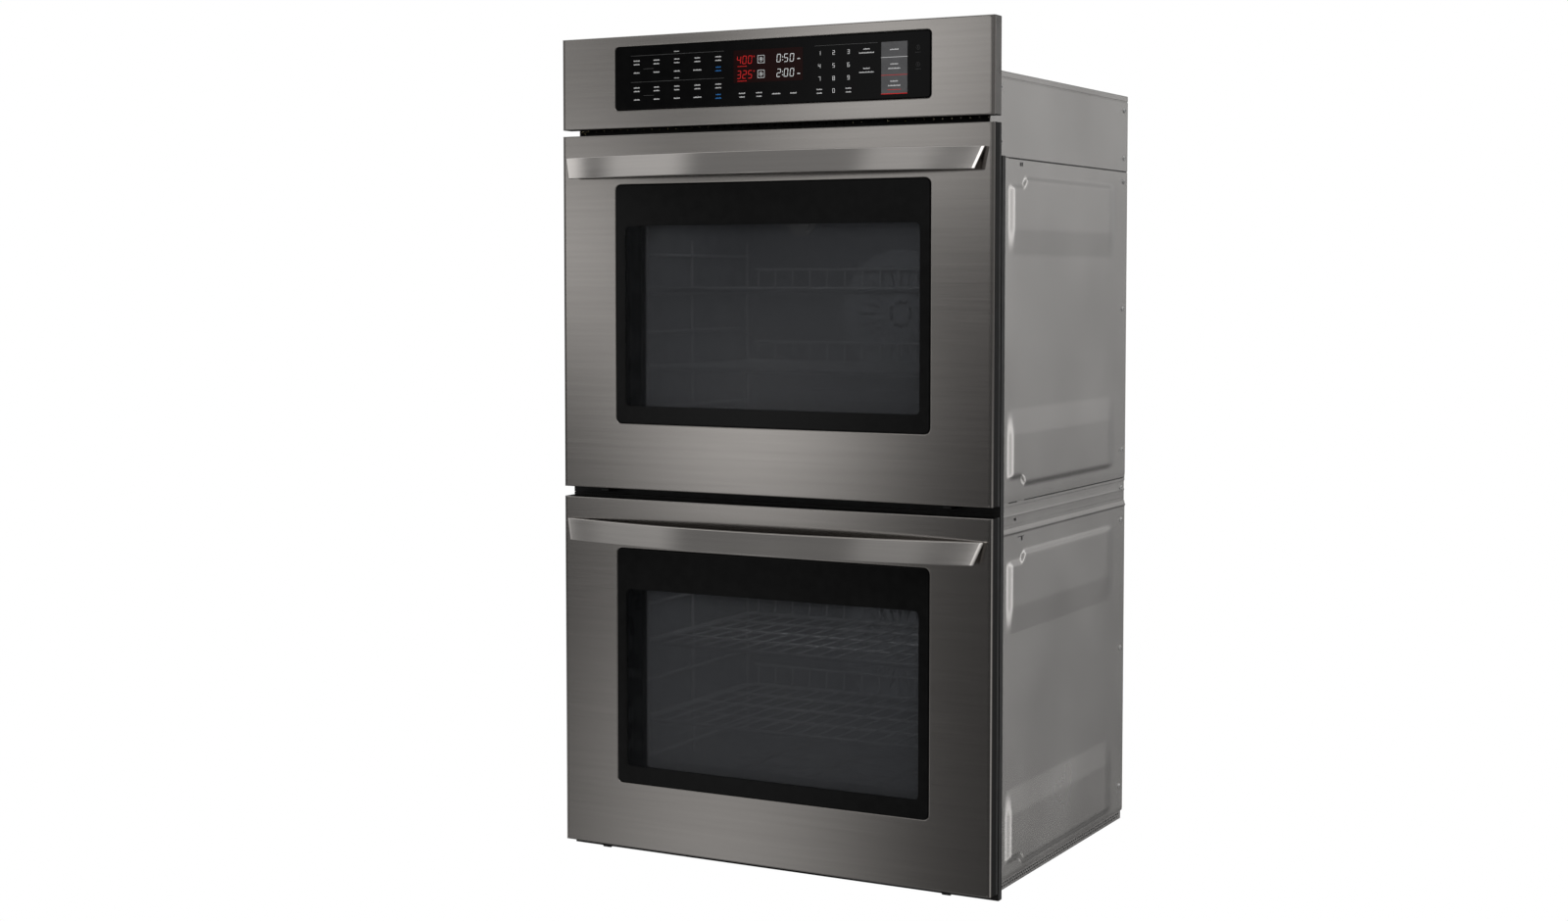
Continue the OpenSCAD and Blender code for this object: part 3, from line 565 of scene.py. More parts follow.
def make_handle(oven):
    """A bowed blade, cut slantwise at its ends, with rounded edges."""
    node = oven + "_handle"
    lo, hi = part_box(node)
    half_top, height = hi.x / MM, (hi.z - lo.z) / MM
    out = (FRONT_Y - lo.y) / MM
    end_out = (FRONT_Y - hi.y) / MM + BLADE_T
    sag = out - end_out
    radius = (half_top ** 2 + sag ** 2) / (2 * sag)
    centre_z = (lo.z + hi.z) / 2 / MM
    verts = []
    stations = [(-1, *edge) for edge in BLADE_EDGE]
    stations += [(-1 + 2 * k / BLADE_STATIONS, 0.0, 0.0) for k in range(1, BLADE_STATIONS)]
    stations += [(1, *edge) for edge in reversed(BLADE_EDGE)]
    for s, inset, tuck in stations:
        for t, z in blade_section(height, inset):
            rise = (z + height / 2) / height
            half = BLADE_LOW_HALF + (half_top - BLADE_LOW_HALF) * rise
            angle = math.asin(s * (half - tuck) / radius)
            r = radius - BLADE_T / 2 - t
            y = -out + radius - r * math.cos(angle)
            verts.append((r * math.sin(angle) * MM, FRONT_Y + y * MM, (centre_z + z) * MM))
    count = len(verts) // len(stations)
    faces = ring_faces(len(stations), count) + end_faces(len(verts), count)
    piece(oven + "_grip", verts, faces, [STEEL_SATIN], oven + "_door", "handle", (node,))


# ---- case: sides, top, base ----

PAD_FRONT, PAD_SLOPE = 91.0, 25.0  # pressed pad: where it starts behind the front plane, and its slope
PAD_BACK, PAD_RUN_OUT = 560.0, 40.0
PAD_STEP_AT, PAD_STEP, PAD_STEP_SLOPE = 145.0, 13.0, 20.0  # behind a step it reaches further out
PAD_END_SLOPE = 9.0
PAD_RISE = 3.0
PAD_FULL = 0.64  # share of the pad's length at full height


def pad_height(d, t, length):
    """Relief of a pressed pad at distance d behind the front, t inwards from the pad's outer end."""
    level = smoothstep((d - PAD_FRONT) / PAD_SLOPE) * smoothstep((PAD_BACK - d) / PAD_RUN_OUT)
    start = -PAD_STEP * smoothstep((d - PAD_STEP_AT) / PAD_STEP_SLOPE)
    level *= smoothstep((t - start) / PAD_END_SLOPE)
    fade = (length - t) / (length * (1 - PAD_FULL))
    return PAD_RISE * level * min(max(fade, 0), 1)


def grid_lines(lo, hi, step, dense):
    """Grid lines from lo to hi, closer inside the dense spans (low, high, step)."""
    values = {round(lo, 3), round(hi, 3)}
    for low, high, fine in [(math.ceil(lo / step) * step, hi, step), *dense]:
        v = low
        while v <= high:
            if lo < v < hi:
                values.add(round(v, 3))
            v += fine
    ordered = sorted(values)
    return [v for i, v in enumerate(ordered) if i == 0 or v - ordered[i - 1] > 0.4]


CREASE = 1.6  # height and half-width of a level crease
SIDE_FOLD, SIDE_FOLD_LONG = 0.6, 1.5


def make_side_sheets(name, node, pad_length, low_gap, high_gap, creases):
    """Both side sheets of one oven, with their pressed pads and folded edges."""
    lo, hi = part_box(node)
    face = CASE_X / MM
    z0, z1 = lo.z / MM, hi.z / MM
    front = -FRONT_Y / MM
    d0, d1 = lo.y / MM + front, hi.y / MM + front
    top, low = z1 - high_gap, z0 + low_gap
    depths = grid_lines(d0, d1, 25, [(86, 122, 2.5), (142, 170, 3.5), (515, 565, 5)])
    dense = [(top - pad_length - 4, top + 18, 3), (low - 18, low + pad_length + 4, 3)]
    dense += [(z - 4, z + 4, 1) for z in creases]
    heights = grid_lines(z0, z1, 30, dense)
    parts = []
    for side in (-1, 1):
        verts = []
        for z in heights:
            for d in depths:
                rise = pad_height(d, top - z, pad_length) + pad_height(d, z - low, pad_length)
                for g in creases:
                    rise += CREASE * math.exp(-((z - g) / CREASE) ** 2)
                edge = min(z - z0, z1 - z, d - d0)
                rise -= SIDE_FOLD * (1 - smoothstep(edge / SIDE_FOLD_LONG))
                verts.append((side * (face + rise) * MM, FRONT_Y + d * MM, z * MM))
        faces = grid_faces(len(heights), len(depths))
        parts.append((verts, faces if side > 0 else [face[::-1] for face in faces]))
    sheet = thickened(name, *merge(parts), GALVANISED)
    settle(name, sheet, "case", (node,), angle=50)


LOUVRES, LOUVRE_PITCH = 11, 24


def make_top_cover():
    """The folded cover over the blower: upright sides with a pressed line, bends and a flat top."""
    lo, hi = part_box("top_cover")
    x1, z0, z1 = hi.x / MM, lo.z / MM, hi.z / MM
    fold_z, bend = z1 - 10, 2.0
    clear_z = PANEL_LO.z / MM - 5.5  # lower down, the sheet ends behind the frame
    side = [(x1 - 0.8, z0), (x1, z0 + 0.8), (x1, clear_z - 0.5), (x1, clear_z), (x1, fold_z - 1.4),
            (x1 - 0.9, fold_z - 0.7), (x1 - 0.9, fold_z + 0.7), (x1, fold_z + 1.4)]
    for k in range(6):
        a = math.radians(18 * k)
        side.append((x1 - bend + bend * math.cos(a), z1 - bend + bend * math.sin(a)))
    path = side + [(-x, z) for x, z in reversed(side)]
    clear_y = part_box("upper_frame")[0].y
    stations = [lo.y, lo.y + 0.5 * MM] + [lo.y + (hi.y - lo.y) * k / 8 for k in range(1, 9)]
    verts = [(x * MM, y if z > clear_z - 0.2 else max(y, clear_y + (y - lo.y) * 0.1), z * MM)
             for y in stations for x, z in path]
    faces = grid_faces(len(stations), len(path))
    sheet = thickened("top_cover_sheet", verts, faces, GALVANISED, offset=1)
    settle("top_cover_sheet", sheet, "case", ("top_cover",))
    starts = [58 + LOUVRE_PITCH * k for k in range(LOUVRES)]
    boxes("top_louvres", [(x, x + 9, 120, 240, z1 - 0.4, z1 + 2.8, 1.3) for x in starts],
          GALVANISED, "case", "galvanised")


BAND_RELIEF = ((0, 0), (2, 0), (3, -1.0), (5, -1.0), (6, 0), (17, 0), (18, 0.7), (20, 0.7), (21, 0))
BEAD_RELIEF = ((-6, 0), (-5, 1.0), (-1, 1.0), (0, 0.2))  # from the band's upper edge


def make_middle_band():
    """The shelf between the ovens, with a beaded band showing on each side."""
    lo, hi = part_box("middle_shelf")
    x1, z0, z1 = hi.x / MM, lo.z / MM, hi.z / MM
    outer = [(x1 + bulge, z0 + up) for up, bulge in BAND_RELIEF]
    outer += [(x1 + bulge, z1 + up) for up, bulge in BEAD_RELIEF]
    ring = outer + [(x - SHEET, z) for x, z in reversed(outer)]
    n = len(ring)
    faces = ring_faces(2, n)
    for start in (0, n):
        for i in range(len(outer) - 1):
            faces.append((start + i, start + i + 1, start + n - 2 - i, start + n - 1 - i))
    parts = []
    for s in (-1, 1):
        parts.append(([(s * x * MM, y, z * MM) for y in (lo.y, hi.y) for x, z in ring], faces))
    shelf_lo = Vector((lo.x + 1.5 * MM, lo.y, hi.z - SHEET * MM))
    parts.append(slab(shelf_lo, Vector((hi.x - 1.5 * MM, hi.y, hi.z)), 0.2 * MM))
    piece("middle_band", *merge(parts), [GALVANISED], "case", "galvanised", ("middle_shelf",))


SLOT_PITCH, SLOT_LONG, SLOT_TALL = 8.0, 4.2, 2.6
SLOT_ROWS = (4.2, 8.8)  # heights of the rows above the tray's underside


def make_base():
    """The perforated base tray: a shallow pan with two rows of small slots on each side, drawn as black
    patches that paint the shade inside them.
    """
    (x0, y0, z0), (x1, y1, z1) = (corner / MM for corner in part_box("base_tray"))
    wall = 2
    boxes("base_pan", [(x0, x1, y0, y1, z0, z0 + wall, 0.3), (x0, x0 + wall, y0, y1, z0, z1, 0.5),
                       (x1 - wall, x1, y0, y1, z0, z1, 0.5), (x0, x1, y0, y0 + wall, z0, z1, 0.5),
                       (x0, x1, y1 - wall, y1, z0, z1, 0.5)],
          GALVANISED, "case", "galvanised", ("base_tray",))
    # Black patches where the slots are: painted shade.
    slots = []
    for x in (x0, x1):
        for row, up in enumerate(SLOT_ROWS):
            for k in range(int((y1 - y0 - 20) / SLOT_PITCH)):
                y, z = y0 + 12 + (k + 0.5 * row) * SLOT_PITCH, z0 + up
                slots.append((x - 0.2, x + 0.2, y, y + SLOT_LONG, z, z + SLOT_TALL, 0))
    boxes("base_slots", slots, BLACK_SHEET, "case", "black_sheet")


GRILLE_PITCH, GRILLE_BAR, GRILLE_RAIL = 15.0, 12.0, 4.0
GRILLE_AHEAD = (4.0, 2.8)  # its faces, in front of the oven frame's back


def make_outlet_grille():
    """The slotted black strip of the air outlet, behind the gap between panel and upper door."""
    frame_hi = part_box("upper_frame")[1] / MM
    y0, y1 = (frame_hi.y - ahead for ahead in GRILLE_AHEAD)
    z0, z3 = frame_hi.z + 0.3, PANEL_LO.z / MM + 22
    z1, z2 = z0 + GRILLE_RAIL, z3 - GRILLE_RAIL
    half = CASE_X / MM - 3
    bars = [(-half, half, y0, y1, z0, z1, 0.2), (-half, half, y0, y1, z2, z3, 0.2)]
    count = int(2 * half / GRILLE_PITCH)
    for k in range(count):
        x = (k - (count - 1) / 2) * GRILLE_PITCH - GRILLE_BAR / 2
        bars.append((x, x + GRILLE_BAR, y0, y1, z1, z2, 0.2))
    boxes("air_outlet_grille", bars, BLACK_SHEET, "case", "black_sheet")


def make_side_marks():
    """The dark seams, slots and small holes on the case's sides; the slots and holes are black patches that
    paint the shade inside them.
    """
    band_lo, band_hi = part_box("middle_shelf")
    cover, top, low = COVER_LO.z / MM, band_hi.z / MM, band_lo.z / MM
    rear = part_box("upper_sides")[1].y / MM - 8
    front = FRONT_Y / MM
    # Dark seams along the cover and the band, then a slot drawn black as painted shade.
    marks = [(front + 98, rear, cover - 1.3, cover), (front + 104, front + 134, top - 0.5, top + 0.6),
             (front + 166, rear, top - 0.5, top + 0.6), (front + 137, front + 163, low - 16, low - 14.8)]
    # Small holes drawn black: painted shade.
    for d, z, wide, tall in ((138, cover - 11, 5, 6), (145, cover - 11, 5, 6), (127, top - 29, 4, 4),
                             (151, low - 22, 6, 6)):
        marks.append((front + d, front + d + wide, z, z + tall))
    near, far = CASE_X / MM - 0.9, CASE_X / MM + 0.12
    spans = [(x0, x1, *mark, 0.05) for x0, x1 in ((-far, -near), (near, far)) for mark in marks]
    boxes("side_marks", spans, BLACK_SHEET, "case", "black_sheet")


PAN_HEAD = ((4.5, 0.0), (4.5, 0.7), (4.1, 1.3), (3.2, 1.8), (1.8, 2.05), (0.4, 2.1))


def make_screws():
    """Pan-head screws with a cross recess, one on each of the CAD's screw places; the recess is a black
    cross laid on the head that paints its shade.
    """
    heads, crosses = [], []
    for low, high in islands("case_screws"):
        size, middle = high - low, (low + high) / 2
        if size.y < size.x and size.y < size.z:
            out, seat = Vector((0, 1, 0)), Vector((middle.x, low.y, middle.z))
        else:
            sign = 1 if middle.x > 0 else -1
            out, seat = Vector((sign, 0, 0)), Vector(((low if sign > 0 else high).x, middle.y, middle.z))
        heads.append(lathe([(r * MM, d * MM) for r, d in PAN_HEAD], seat, out, 20))
        # The cross recess is a black cross standing on the head: painted shade.
        up = Vector((0, 0, 1))
        side = out.cross(up)
        for arm, other in ((side, up), (up, side)):
            reach = Vector([abs(v) for v in arm * 2.2 + other * 0.45 + out * 0.5]) * MM
            at = seat + out * 1.75 * MM
            crosses.append(slab(at - reach, at + reach))
    piece("screw_heads", *merge(heads), [ZINC], "case", "zinc", ("case_screws",))
    piece("screw_recesses", *merge(crosses), [BLACK_SHEET], "case", "black_sheet")


# ---- ovens ----

LIP_BEND = 2.5  # bend radius of an oven's front edge
RIB_R, SIDE_RIB_R = 3.5, 3.0
BACK_RIBS, SIDE_RIBS = (-185, -165, -145, 145, 165, 185), (-150, 178)


def make_cavity(oven):
    """The enamelled oven: round corners all through, pressed ribs on the back and a rolled front edge."""
    node = oven + "_cavity"
    lo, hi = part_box(node)
    flange_w, flange_h = (hi.x - lo.x) / MM, (hi.z - lo.z) / MM
    w, h = flange_w - 44, flange_h - 28
    mid_z = (lo.z + hi.z) / 2 / MM
    depth = (hi.y - lo.y) / MM - SHEET
    corner, floor_r = 20.0, 16.0
    rings = [(flange_w, flange_h, 0, mid_z, 0, 0, 10),
             (w + 2 * LIP_BEND, h + 2 * LIP_BEND, 0, mid_z, 0, 0, corner + LIP_BEND)]
    turns = [math.radians(30 * k) for k in range(4)]
    steps = [(2 * LIP_BEND * (1 - math.sin(a)), LIP_BEND * (1 - math.cos(a))) for a in turns]
    steps += [(0, depth * k / 12) for k in range(1, 12)]
    turns = [math.radians(18 * k) for k in range(6)]
    steps += [(-2 * floor_r * (1 - math.cos(a)), depth - floor_r * (1 - math.sin(a))) for a in turns]
    rings += [(w + grow, h + grow, 0, mid_z, deep, deep, corner) for grow, deep in steps]
    verts, faces = loft(rings, lo.y, closed=False)
    faces.append(end_faces(len(verts), RING)[1])
    shell = thickened(oven + "_oven", verts, faces, ENAMEL)
    settle(oven + "_oven", shell, "case", (node,), angle=40)
    front, back = lo.y / MM, lo.y / MM + depth
    ribs = [bead(Vector((-235, back, mid_z + z)), Vector((235, back, mid_z + z)), RIB_R) for z in BACK_RIBS]
    for x in (-w / 2, w / 2):
        for z in SIDE_RIBS:
            ends = [Vector((x, y, mid_z + z)) for y in (front + 60, back - 60)]
            ribs.append(bead(*ends, SIDE_RIB_R))
    piece(oven + "_oven_ribs", *merge(ribs), [ENAMEL], "case", "enamel")


BEAD_RINGS, BEAD_RUN_OUT, BEAD_END = 24, 18.0, 0.04


def bead(start, end, radius):
    """A pressed rib between two points in millimetres, running out at both ends."""
    length = (end - start).length
    points, radii = [], []
    for k in range(BEAD_RINGS + 1):
        t = 0.5 - 0.5 * math.cos(math.pi * k / BEAD_RINGS)
        points.append(start.lerp(end, t) * MM)
        close = min(min(t, 1 - t) * length / BEAD_RUN_OUT, 1)
        radii.append(radius * MM * max(math.sin(close * math.pi / 2), BEAD_END))
    return tube(points, radii, 12)


ROD, CROSS_ROD, WIRE_R = 3.0, 2.5, 1.6  # radii of a rack's rim, cross rods and lengthwise wires
WIRE_PITCH, WIRES = 34.5, 17
RIM_BEND, STOP_BEND = 16.0, 9.0


def arc_points(centre, radius, start, stop, steps, plane="xy"):
    """Points in millimetres on an arc, turned from start to stop degrees."""
    points = []
    for k in range(steps + 1):
        a = math.radians(start + (stop - start) * k / steps)
        u, v = radius * math.cos(a), radius * math.sin(a)
        points.append(centre + (Vector((u, v, 0)) if plane == "xy" else Vector((0, u, v))))
    return points


def make_rack(name, node, body):
    """A wire rack: round-cornered rim, cross rods, lengthwise wires bent up into the rear stop."""
    lo, hi = (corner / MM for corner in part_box(node))
    z = lo.z + ROD
    half, y0, y1 = hi.x - ROD, lo.y + 6, hi.y - WIRE_R - 0.6
    in_x, in_y0, in_y1 = half - RIM_BEND, y0 + RIM_BEND, y1 - RIM_BEND
    rim = []
    for cx, cy, start in ((in_x, in_y1, 0), (-in_x, in_y1, 90), (-in_x, in_y0, 180), (in_x, in_y0, 270)):
        rim += arc_points(Vector((cx, cy, z)), RIM_BEND, start, start + 90, 6)
    rim += [rim[0], rim[1]]
    parts = [tube([p * MM for p in rim], ROD * MM, 12)]
    across = [(y0 + (y1 - y0) * share, 0, 3) for share in (0.5, 0.25, 0.75)]
    for y, rise, reach in [(lo.y + ROD, 1, 26), *across]:
        ends = [Vector((s * (half - reach), y, z + rise)) * MM for s in (-1, 1)]
        parts.append(tube(ends, (ROD if reach > 3 else CROSS_ROD) * MM, 12))
    top = hi.z - WIRE_R
    level = z + ROD + 0.4
    for i in range(WIRES):
        x = (i - WIRES // 2) * WIRE_PITCH
        path = [Vector((x, lo.y + 0.5, level - 1.5)), Vector((x, lo.y + 5, level))]
        path += arc_points(Vector((x, y1 - STOP_BEND, level + STOP_BEND)), STOP_BEND, -90, 0, 5, "yz")
        path.append(Vector((x, y1, top - 1)))
        parts.append(tube([p * MM for p in path], WIRE_R * MM, 8))
    reach = (WIRES // 2) * WIRE_PITCH + 6
    ends = [Vector((s * reach, y1, top - 1)) * MM for s in (-1, 1)]
    parts.append(tube(ends, (WIRE_R + 0.6) * MM, 10))
    piece(name, *merge(parts), [WIRE], body, "rack_wire", (node,), angle=50)


# ---- marks on the control glass ----

MARK_T = 0.12  # thickness of a printed mark
PRINT_LEFT = 5.0  # the print's left, from the panel's
LETTERS = (1.0, 1.35, 0.8, 1.2, 1.5, 0.9, 1.1)  # widths of the blocks that stand for letters
LETTER_GAP = 0.45
LOW_LETTER = 0.72  # height of most blocks, as a share of the tallest
LINE_APART = 2.8  # half the distance between two lines of a caption
STROKES = "abcdef bc abged abgcd fgbc afgcd afgedc abc abcdefg abcdfg".split()  # of figures 0 to 9


class Marks:
    """Flat marks on the control glass, in millimetres from the print's left and the panel's top."""

    def __init__(self, name, material, layer=0):
        self.name, self.material = name, material
        self.y = TOUCH_Y - (0.02 + layer * 0.1) * MM
        self.parts = []

    def polygon(self, points):
        """A mark with the corners points, (u to the right, v down)."""
        n = len(points)
        left = PANEL_LO.x + PRINT_LEFT * MM
        near = [(left + u * MM, self.y - MARK_T * MM, PANEL_HI.z - v * MM) for u, v in points]
        far = [(x, self.y, z) for x, _, z in near]
        faces = [tuple(range(n)), tuple(range(n, 2 * n))[::-1]]
        faces += [(i, (i + 1) % n, n + (i + 1) % n, n + i) for i in range(n)]
        self.parts.append((near + far, faces))

    def bar(self, u, v, w, h):
        self.polygon([(u, v), (u + w, v), (u + w, v + h), (u, v + h)])

    def word(self, u, v, width, height=1.9, seed=0):
        """A greeked word centred on u, v: small blocks where letters would be."""
        blocks, used, k = [], 0.0, seed
        while used < width:
            blocks.append(LETTERS[(k * 3 + seed) % len(LETTERS)])
            used += blocks[-1] + LETTER_GAP
            k += 1
        at = u - (used - LETTER_GAP) / 2
        for i, size in enumerate(blocks):
            tall = height * (1.0 if (i + seed) % 3 == 0 else LOW_LETTER)
            self.bar(at, v + height / 2 - tall, size, tall)
            at += size + LETTER_GAP

    def lines(self, u, v, widths, seeds):
        """Two greeked words, one above and one below u, v."""
        for side, width, seed in zip((-1, 1), widths, seeds):
            self.word(u, v + side * LINE_APART, width, seed=seed)

    def frame(self, u, v, w, h, line):
        """The outline of an upright rectangle."""
        for at_v in (v, v + h - line):
            self.bar(u, at_v, w, line)
        for at_u in (u, u + w - line):
            self.bar(at_u, v + line, line, h - 2 * line)

    def figure(self, sign, u, v, w, h, stroke=0.85, lean=0.09, apart=0.2):
        """A seven-stroke figure whose top left corner is at u, v; its strokes stand a little apart."""
        half = h / 2
        places = {"a": (0, 0, w, 0), "b": (w, 0, w, half), "c": (w, half, w, h), "d": (0, h, w, h),
                  "e": (0, half, 0, h), "f": (0, 0, 0, half), "g": (0, half, w, half)}
        for key in STROKES[int(sign)]:
            x0, y0, x1, y1 = places[key]
            length = math.hypot(x1 - x0, y1 - y0)
            dx, dy = (x1 - x0) / length, (y1 - y0) / length
            s, gap = stroke / 2, apart + stroke / 2
            ends = [(gap - s, 0), (gap, s), (length - gap, s), (length - gap + s, 0), (length - gap, -s),
                    (gap, -s)]
            points = []
            for along, across in ends:
                x, y = x0 + dx * along - dy * across, y0 + dy * along + dx * across
                points.append((u + x + (h - y) * lean, v + y))
            self.polygon(points)

    def ring(self, u, v, outer, inner, turn):
        """A ring of quads round u, v."""
        for k in range(turn):
            a, b = (2 * math.pi * i / turn for i in (k, k + 1))
            corners = ((outer, a), (outer, b), (inner, b), (inner, a))
            self.polygon([(u + r * math.cos(t), v + r * math.sin(t)) for r, t in corners])

    def done(self):
        piece(self.name, *merge(self.parts), [self.material], "case", "board")


CAPTION_COLUMNS = (137.3, 174.0, 211.5, 248.8, 286.5)
LIGHT_COLUMNS = (328.8, 358.8, 389.0, 418.8)
PAD_COLUMNS, PAD_ROWS = (463.5, 487.7, 512.7), (43.0, 62.3, 81.5, 100.2)


def make_print():
    """Rules, greeked captions and keypad figures."""
    white = Marks("panel_print", PRINT_PAINTED_GLOW)
    rules = Marks("panel_rules", PRINT_GREY)
    for v in (31.5, 73.0):
        rules.bar(126.5, v, 170.5, 0.55)
        white.word(211.0, v - 3.6, 9, 1.2, 2)
    for column, u in enumerate(CAPTION_COLUMNS):
        for row, v in enumerate((42.6, 84.9)):
            white.lines(u, v, (9.5, 9.5 + column % 2), (column + row, column + 3 * row + 1))
            if column < 4:
                white.word(u, v + 16.0, 11 + 3 * (column == 3), seed=column + 5 * row + 2)
    for v in (52.5, 94.5):
        rules.bar(150, v, 19, 0.5)
    for i, u in enumerate(LIGHT_COLUMNS):
        if i < 2:
            white.lines(u, 100.8, (10, 9), (i, i + 4))
        else:
            white.word(u, 100.8, 13 - 3 * (i - 2), seed=i)
    rules.bar(455, 31.5, 106.5, 0.55)
    for i in range(10):
        u, v = (PAD_COLUMNS[i % 3], PAD_ROWS[i // 3]) if i < 9 else (PAD_COLUMNS[1], PAD_ROWS[3])
        white.figure(str((i + 1) % 10), u - 1.6, v - 2.9, 3.2, 5.8, 0.7, 0.0, -0.3)
    for u in (PAD_COLUMNS[0], PAD_COLUMNS[2]):
        white.lines(u, PAD_ROWS[3], (9.5, 8.5), (3, 5))
    for v in (43.0, 72.0):
        white.lines(543.0, v, (11, 24), (int(v), int(v) + 2))
    white.done()
    rules.done()

    blue = Marks("panel_print_blue", PRINT_BLUE_PAINTED_GLOW)
    for v in (58.6, 100.9):
        blue.lines(286.5, v, (9, 11), (1, 4))
    blue.done()


DISPLAY_ROWS = ((41.2, "400", "050"), (63.7, "325", "200"))  # height, temperature, time


def make_display():
    """The lit display: two rows of a temperature, an icon and a time in a dim red window."""
    window = Marks("display_window", DISPLAY_RED_DIM)
    window.bar(314, 32, 121, 50)
    window.done()

    red = Marks("display_red", DISPLAY_RED, 1)
    pale = Marks("display_pale", DISPLAY_PALE, 1)
    for v, temperature, time in DISPLAY_ROWS:
        for i, sign in enumerate(temperature):
            red.figure(sign, 320.0 + 9.8 * i, v, 5.9, 11.6)
        red.ring(350.0, v + 1.2, 1.1, 0.6, 12)
        red.word(329.0, v + 15.5, 16, 1.2, seed=3)
        for i, sign in enumerate(time):
            pale.figure(sign, 390.0 + 10.2 * i + (2.4 if i else 0), v, 5.9, 11.6)
        for dot in (3.6, 8.2):
            pale.bar(399.6, v + dot, 1.3, 1.3)
        pale.word(428.0, v + 8.0, 5, 1.6, seed=2)
        pale.frame(356.5, v, 12, 12, 0.5)
        pale.ring(362.5, v + 6, 3.0, 2.5, 20)
        pale.ring(362.5, v + 6, 1.1, 0.2, 12)
    red.done()
    pale.done()


KEY_LEFT, KEY_W, KEY_MIDDLE = 567.7, 43, 589.0


def make_touch_keys():
    """The three grey touch keys with their rules and captions, and two faint marks beside them."""
    keys = Marks("touch_keys", KEY_GREY)
    for v, tall in ((31.5, 22.6), (54.9, 25.6), (81.2, 26.8)):
        keys.bar(KEY_LEFT, v, KEY_W, tall)
    keys.done()
    pale = Marks("touch_key_rules", PRINT_PAINTED_GLOW, 1)
    pale.bar(KEY_LEFT, 54.1, KEY_W, 0.7)
    for v, width in ((43.0, 13), (64.5, 12), (71.0, 20), (90.0, 12), (96.5, 20)):
        pale.word(KEY_MIDDLE, v, width, seed=int(v))
    pale.done()
    # The red rules and caption are print but take the display's glowing red: painted light.
    warm = Marks("touch_key_red_rules", DISPLAY_RED, 1)
    warm.bar(KEY_LEFT, 80.6, KEY_W, 0.5)
    warm.bar(KEY_LEFT, 108.2, KEY_W, 0.9)
    warm.word(KEY_MIDDLE, 102.6, 22, 1.0, seed=2)
    warm.done()

    faint = Marks("panel_print_faint", PRINT_FAINT)
    for v in (42.0, 67.0):
        faint.ring(628.0, v, 3.4, 2.8, 20)
        faint.bar(627.4, v - 1.6, 1.2, 3.2)
        faint.word(628.0, v + 7.0, 8, 1.2, seed=int(v))
    faint.done()


VENT_PITCH = 50


def make_door_vents(oven):
    """The row of air slots in a door's top edge, drawn as black blocks that paint the shade inside the
    slots.
    """
    lo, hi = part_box(oven + "_door_skin")
    y, z = lo.y / MM + 8, hi.z / MM - 0.6
    # Black blocks where the slots open: painted shade.
    slots = [(x - 18, x + 18, y, y + 5, z, z + 0.65, 0.1) for x in range(-300, 301, VENT_PITCH)]
    boxes(oven + "_door_vents", slots, BLACK_PLASTIC, oven + "_door", "black_plastic")


SIDE_PADS = {  # length of a pad, its gap at the lower and the upper end, heights of creases
    "upper": (108.0, 34.0, 37.0, ()), "lower": (113.0, 23.0, 49.0, (545.0,)),
}


def make_doors_and_ovens():
    for oven in OVENS:
        door = oven + "_door"
        make_skin(oven + "_door_front", oven + "_door_skin", oven + "_outer_glass", door, "skin", STEEL_PAINTED_SHADE)
        make_pane(oven + "_door_glass", oven + "_outer_glass", door, "black_glass", 8.25, [FRIT, CLEAR],
                  WINDOW_ZONE)
        make_pane(oven + "_mid_pane", oven + "_middle_glass", door, "clear_glass", 6.0,
                  [CLEAR_MIDDLE, CLEAR_PAINTED_LIGHT], PAINTED_LIGHT_ZONE)
        make_pane(oven + "_in_pane", oven + "_inner_glass", door, "clear_glass", 6.0, [CLEAR_INNER_PAINTED_LIGHT])
        make_handle(oven)
        make_door_vents(oven)
        make_cavity(oven)
        for level, letter in (("high", "a"), ("low", "b")):
            make_rack(f"{oven}_wire_rack_{level}", f"{oven}_rack_{letter}", f"{oven}_rack_{level}")
        make_side_sheets(oven + "_side_sheets", oven + "_sides", *SIDE_PADS[oven])


make_skin("control_panel_skin", "control_fascia", "control_glass", "case", "fascia", PANEL_STEEL_PAINTED_SHADE, radius=6.0)
make_pane("control_panel_glass", "control_glass", "case", "black_glass", 5.5, [TOUCH_GLASS])
make_print()
make_display()
make_touch_keys()
make_doors_and_ovens()
make_top_cover()
make_middle_band()
make_base()
make_screws()
make_side_marks()
make_outlet_grille()


# ---- studio ----

BASE_LIGHT = (  # sine of the elevation, brightness of the studio
    (-1.0, 0.32), (-0.5, 0.22), (-0.35, 0.085), (-0.09, 0.065), (0.0, 0.15), (0.05, 0.24), (0.10, 0.25),
    (0.14, 0.27), (0.2, 0.20), (0.32, 0.22), (0.46, 0.29), (0.65, 0.55), (1.0, 0.8),
)
SOFT_BOXES = (  # azimuth from straight ahead: middle, inner and outer half-width in degrees;
                # sine of the elevation: the same three; brightness
    (-29.2, 0.0, 5.2, -0.06, 0.00, 0.078, 1.68),
    (-35.5, 0.0, 4.5, 0.13, 0.01, 0.05, 0.60),
    (-30.2, 0.0, 6.0, -0.26, 0.06, 0.16, 0.75),
    (-80.0, 30.0, 45.0, -0.30, 0.10, 0.18, 0.45),
    (-25.8, 0.0, 5.8, 0.11, 0.03, 0.10, 1.20),
    (-34.4, 0.0, 4.0, 0.015, 0.00, 0.08, 1.35),
    (-69.8, 4.5, 7.5, 0.44, 0.15, 0.42, 0.96),
    (-51.0, 4.5, 10.5, 0.50, 0.18, 0.42, 0.44),
    (-8.0, 3.0, 8.0, 0.50, 0.06, 0.40, 0.28),
    (14.0, 7.5, 9.2, 0.50, 0.06, 0.40, 2.20),
    (65.0, 12.0, 40.0, -0.24, 0.10, 0.20, 0.70),
    (150.0, 40.0, 75.0, 0.10, 0.10, 0.46, 0.22),
    (143.0, 3.0, 7.0, 0.00, 0.30, 0.50, 1.80),
)


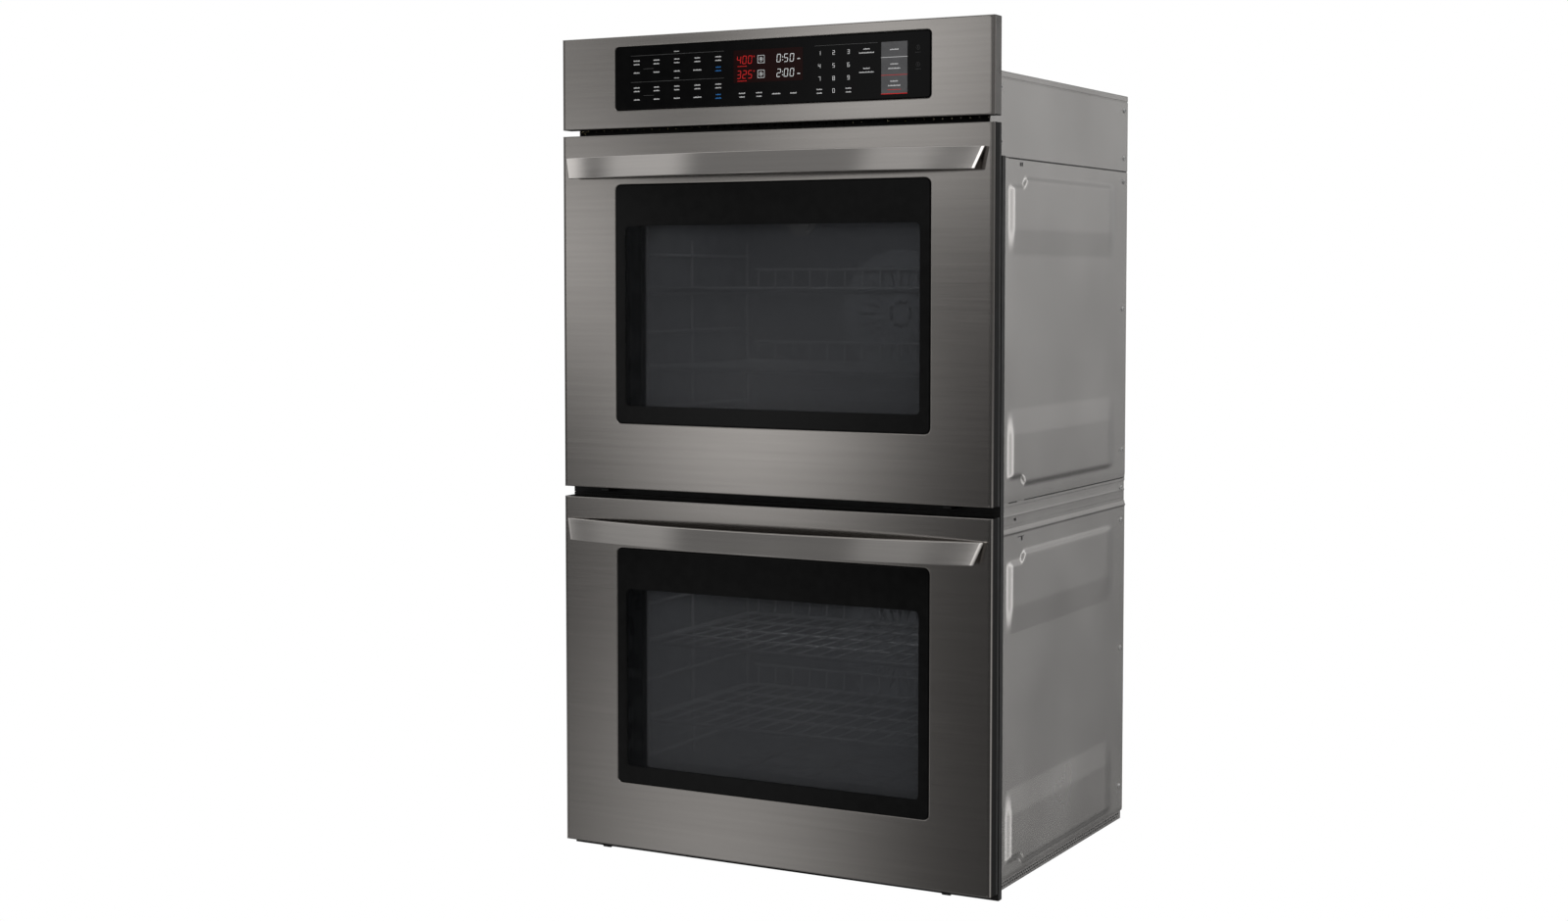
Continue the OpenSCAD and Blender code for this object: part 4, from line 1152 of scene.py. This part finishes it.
class Studio(Nodes):
    """The world's light as a sum of smooth soft boxes over a graded base."""

    def __init__(self, tree):
        super().__init__(tree)
        way = self.add("ShaderNodeTexCoord", {}, "Generated")
        axes = self.add("ShaderNodeSeparateXYZ", {0: way}).node.outputs
        turn = self.maths("ARCTAN2", axes["X"], self.maths("MULTIPLY", axes["Y"], -1.0))
        self.azimuth = self.maths("MULTIPLY", turn, 180 / math.pi)
        self.height = axes["Z"]

    def maths(self, operation, a, b=0.0):
        return self.add("ShaderNodeMath", {0: a, 1: b}, operation=operation)

    def fall(self, value, middle, inner, outer):
        """One inside the inner half-width, falling smoothly to nothing at the outer one."""
        away = self.maths("ABSOLUTE", self.maths("SUBTRACT", value, middle))
        return self.add("ShaderNodeMapRange", {0: away, 1: inner, 2: outer, 3: 1.0, 4: 0.0}, "Result",
                        interpolation_type="SMOOTHSTEP")

    def light(self):
        share = self.add("ShaderNodeMapRange", {0: self.height, 1: -1.0, 2: 1.0}, "Result")
        total = self.ramp(share, [((height + 1) / 2, bright) for height, bright in BASE_LIGHT])
        for az, az_in, az_out, up, up_in, up_out, bright in SOFT_BOXES:
            across = self.fall(self.azimuth, az, az_in, az_out)
            both = self.maths("MULTIPLY", across, self.fall(self.height, up, up_in, up_out))
            total = self.maths("ADD", total, self.maths("MULTIPLY", both, bright))
        return total


def make_world():
    """The studio, and plain white where the camera looks past the object."""
    world = bpy.data.worlds.new("studio")
    bpy.context.scene.world = world
    world.use_nodes = True
    studio = Studio(world.node_tree)
    lit = world.node_tree.nodes["Background"]
    studio.feed(lit.inputs["Color"], studio.light())
    white = studio.add("ShaderNodeBackground", {"Color": (1, 1, 1, 1)})
    seen = studio.add("ShaderNodeLightPath", {}, "Is Camera Ray")
    mix = studio.add("ShaderNodeMixShader", {0: seen, 1: lit.outputs[0], 2: white})
    studio.feed(world.node_tree.nodes["World Output"].inputs["Surface"], mix)


OVEN_LIGHT = 1.8


def oven_light(oven):
    """A wide light under an oven's ceiling, aimed at the foot of its back."""
    lo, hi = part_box(oven + "_cavity")
    data = bpy.data.lights.new(oven + "_oven_light", "AREA")
    data.shape = "RECTANGLE"
    data.size, data.size_y = 0.5, 0.16
    data.energy = OVEN_LIGHT
    light = new_object(oven + "_oven_light", data)
    light.location = (0, lo.y + 0.15, hi.z - 0.03)
    light.visible_camera = False
    light.visible_glossy = False
    aim = Vector((0.05, hi.y, lo.z + 0.1)) - light.location
    light.rotation_euler = aim.to_track_quat("-Z", "Y").to_euler()


make_world()
for oven in OVENS:
    oven_light(oven)
bpy.context.scene.view_settings.view_transform = "Standard"
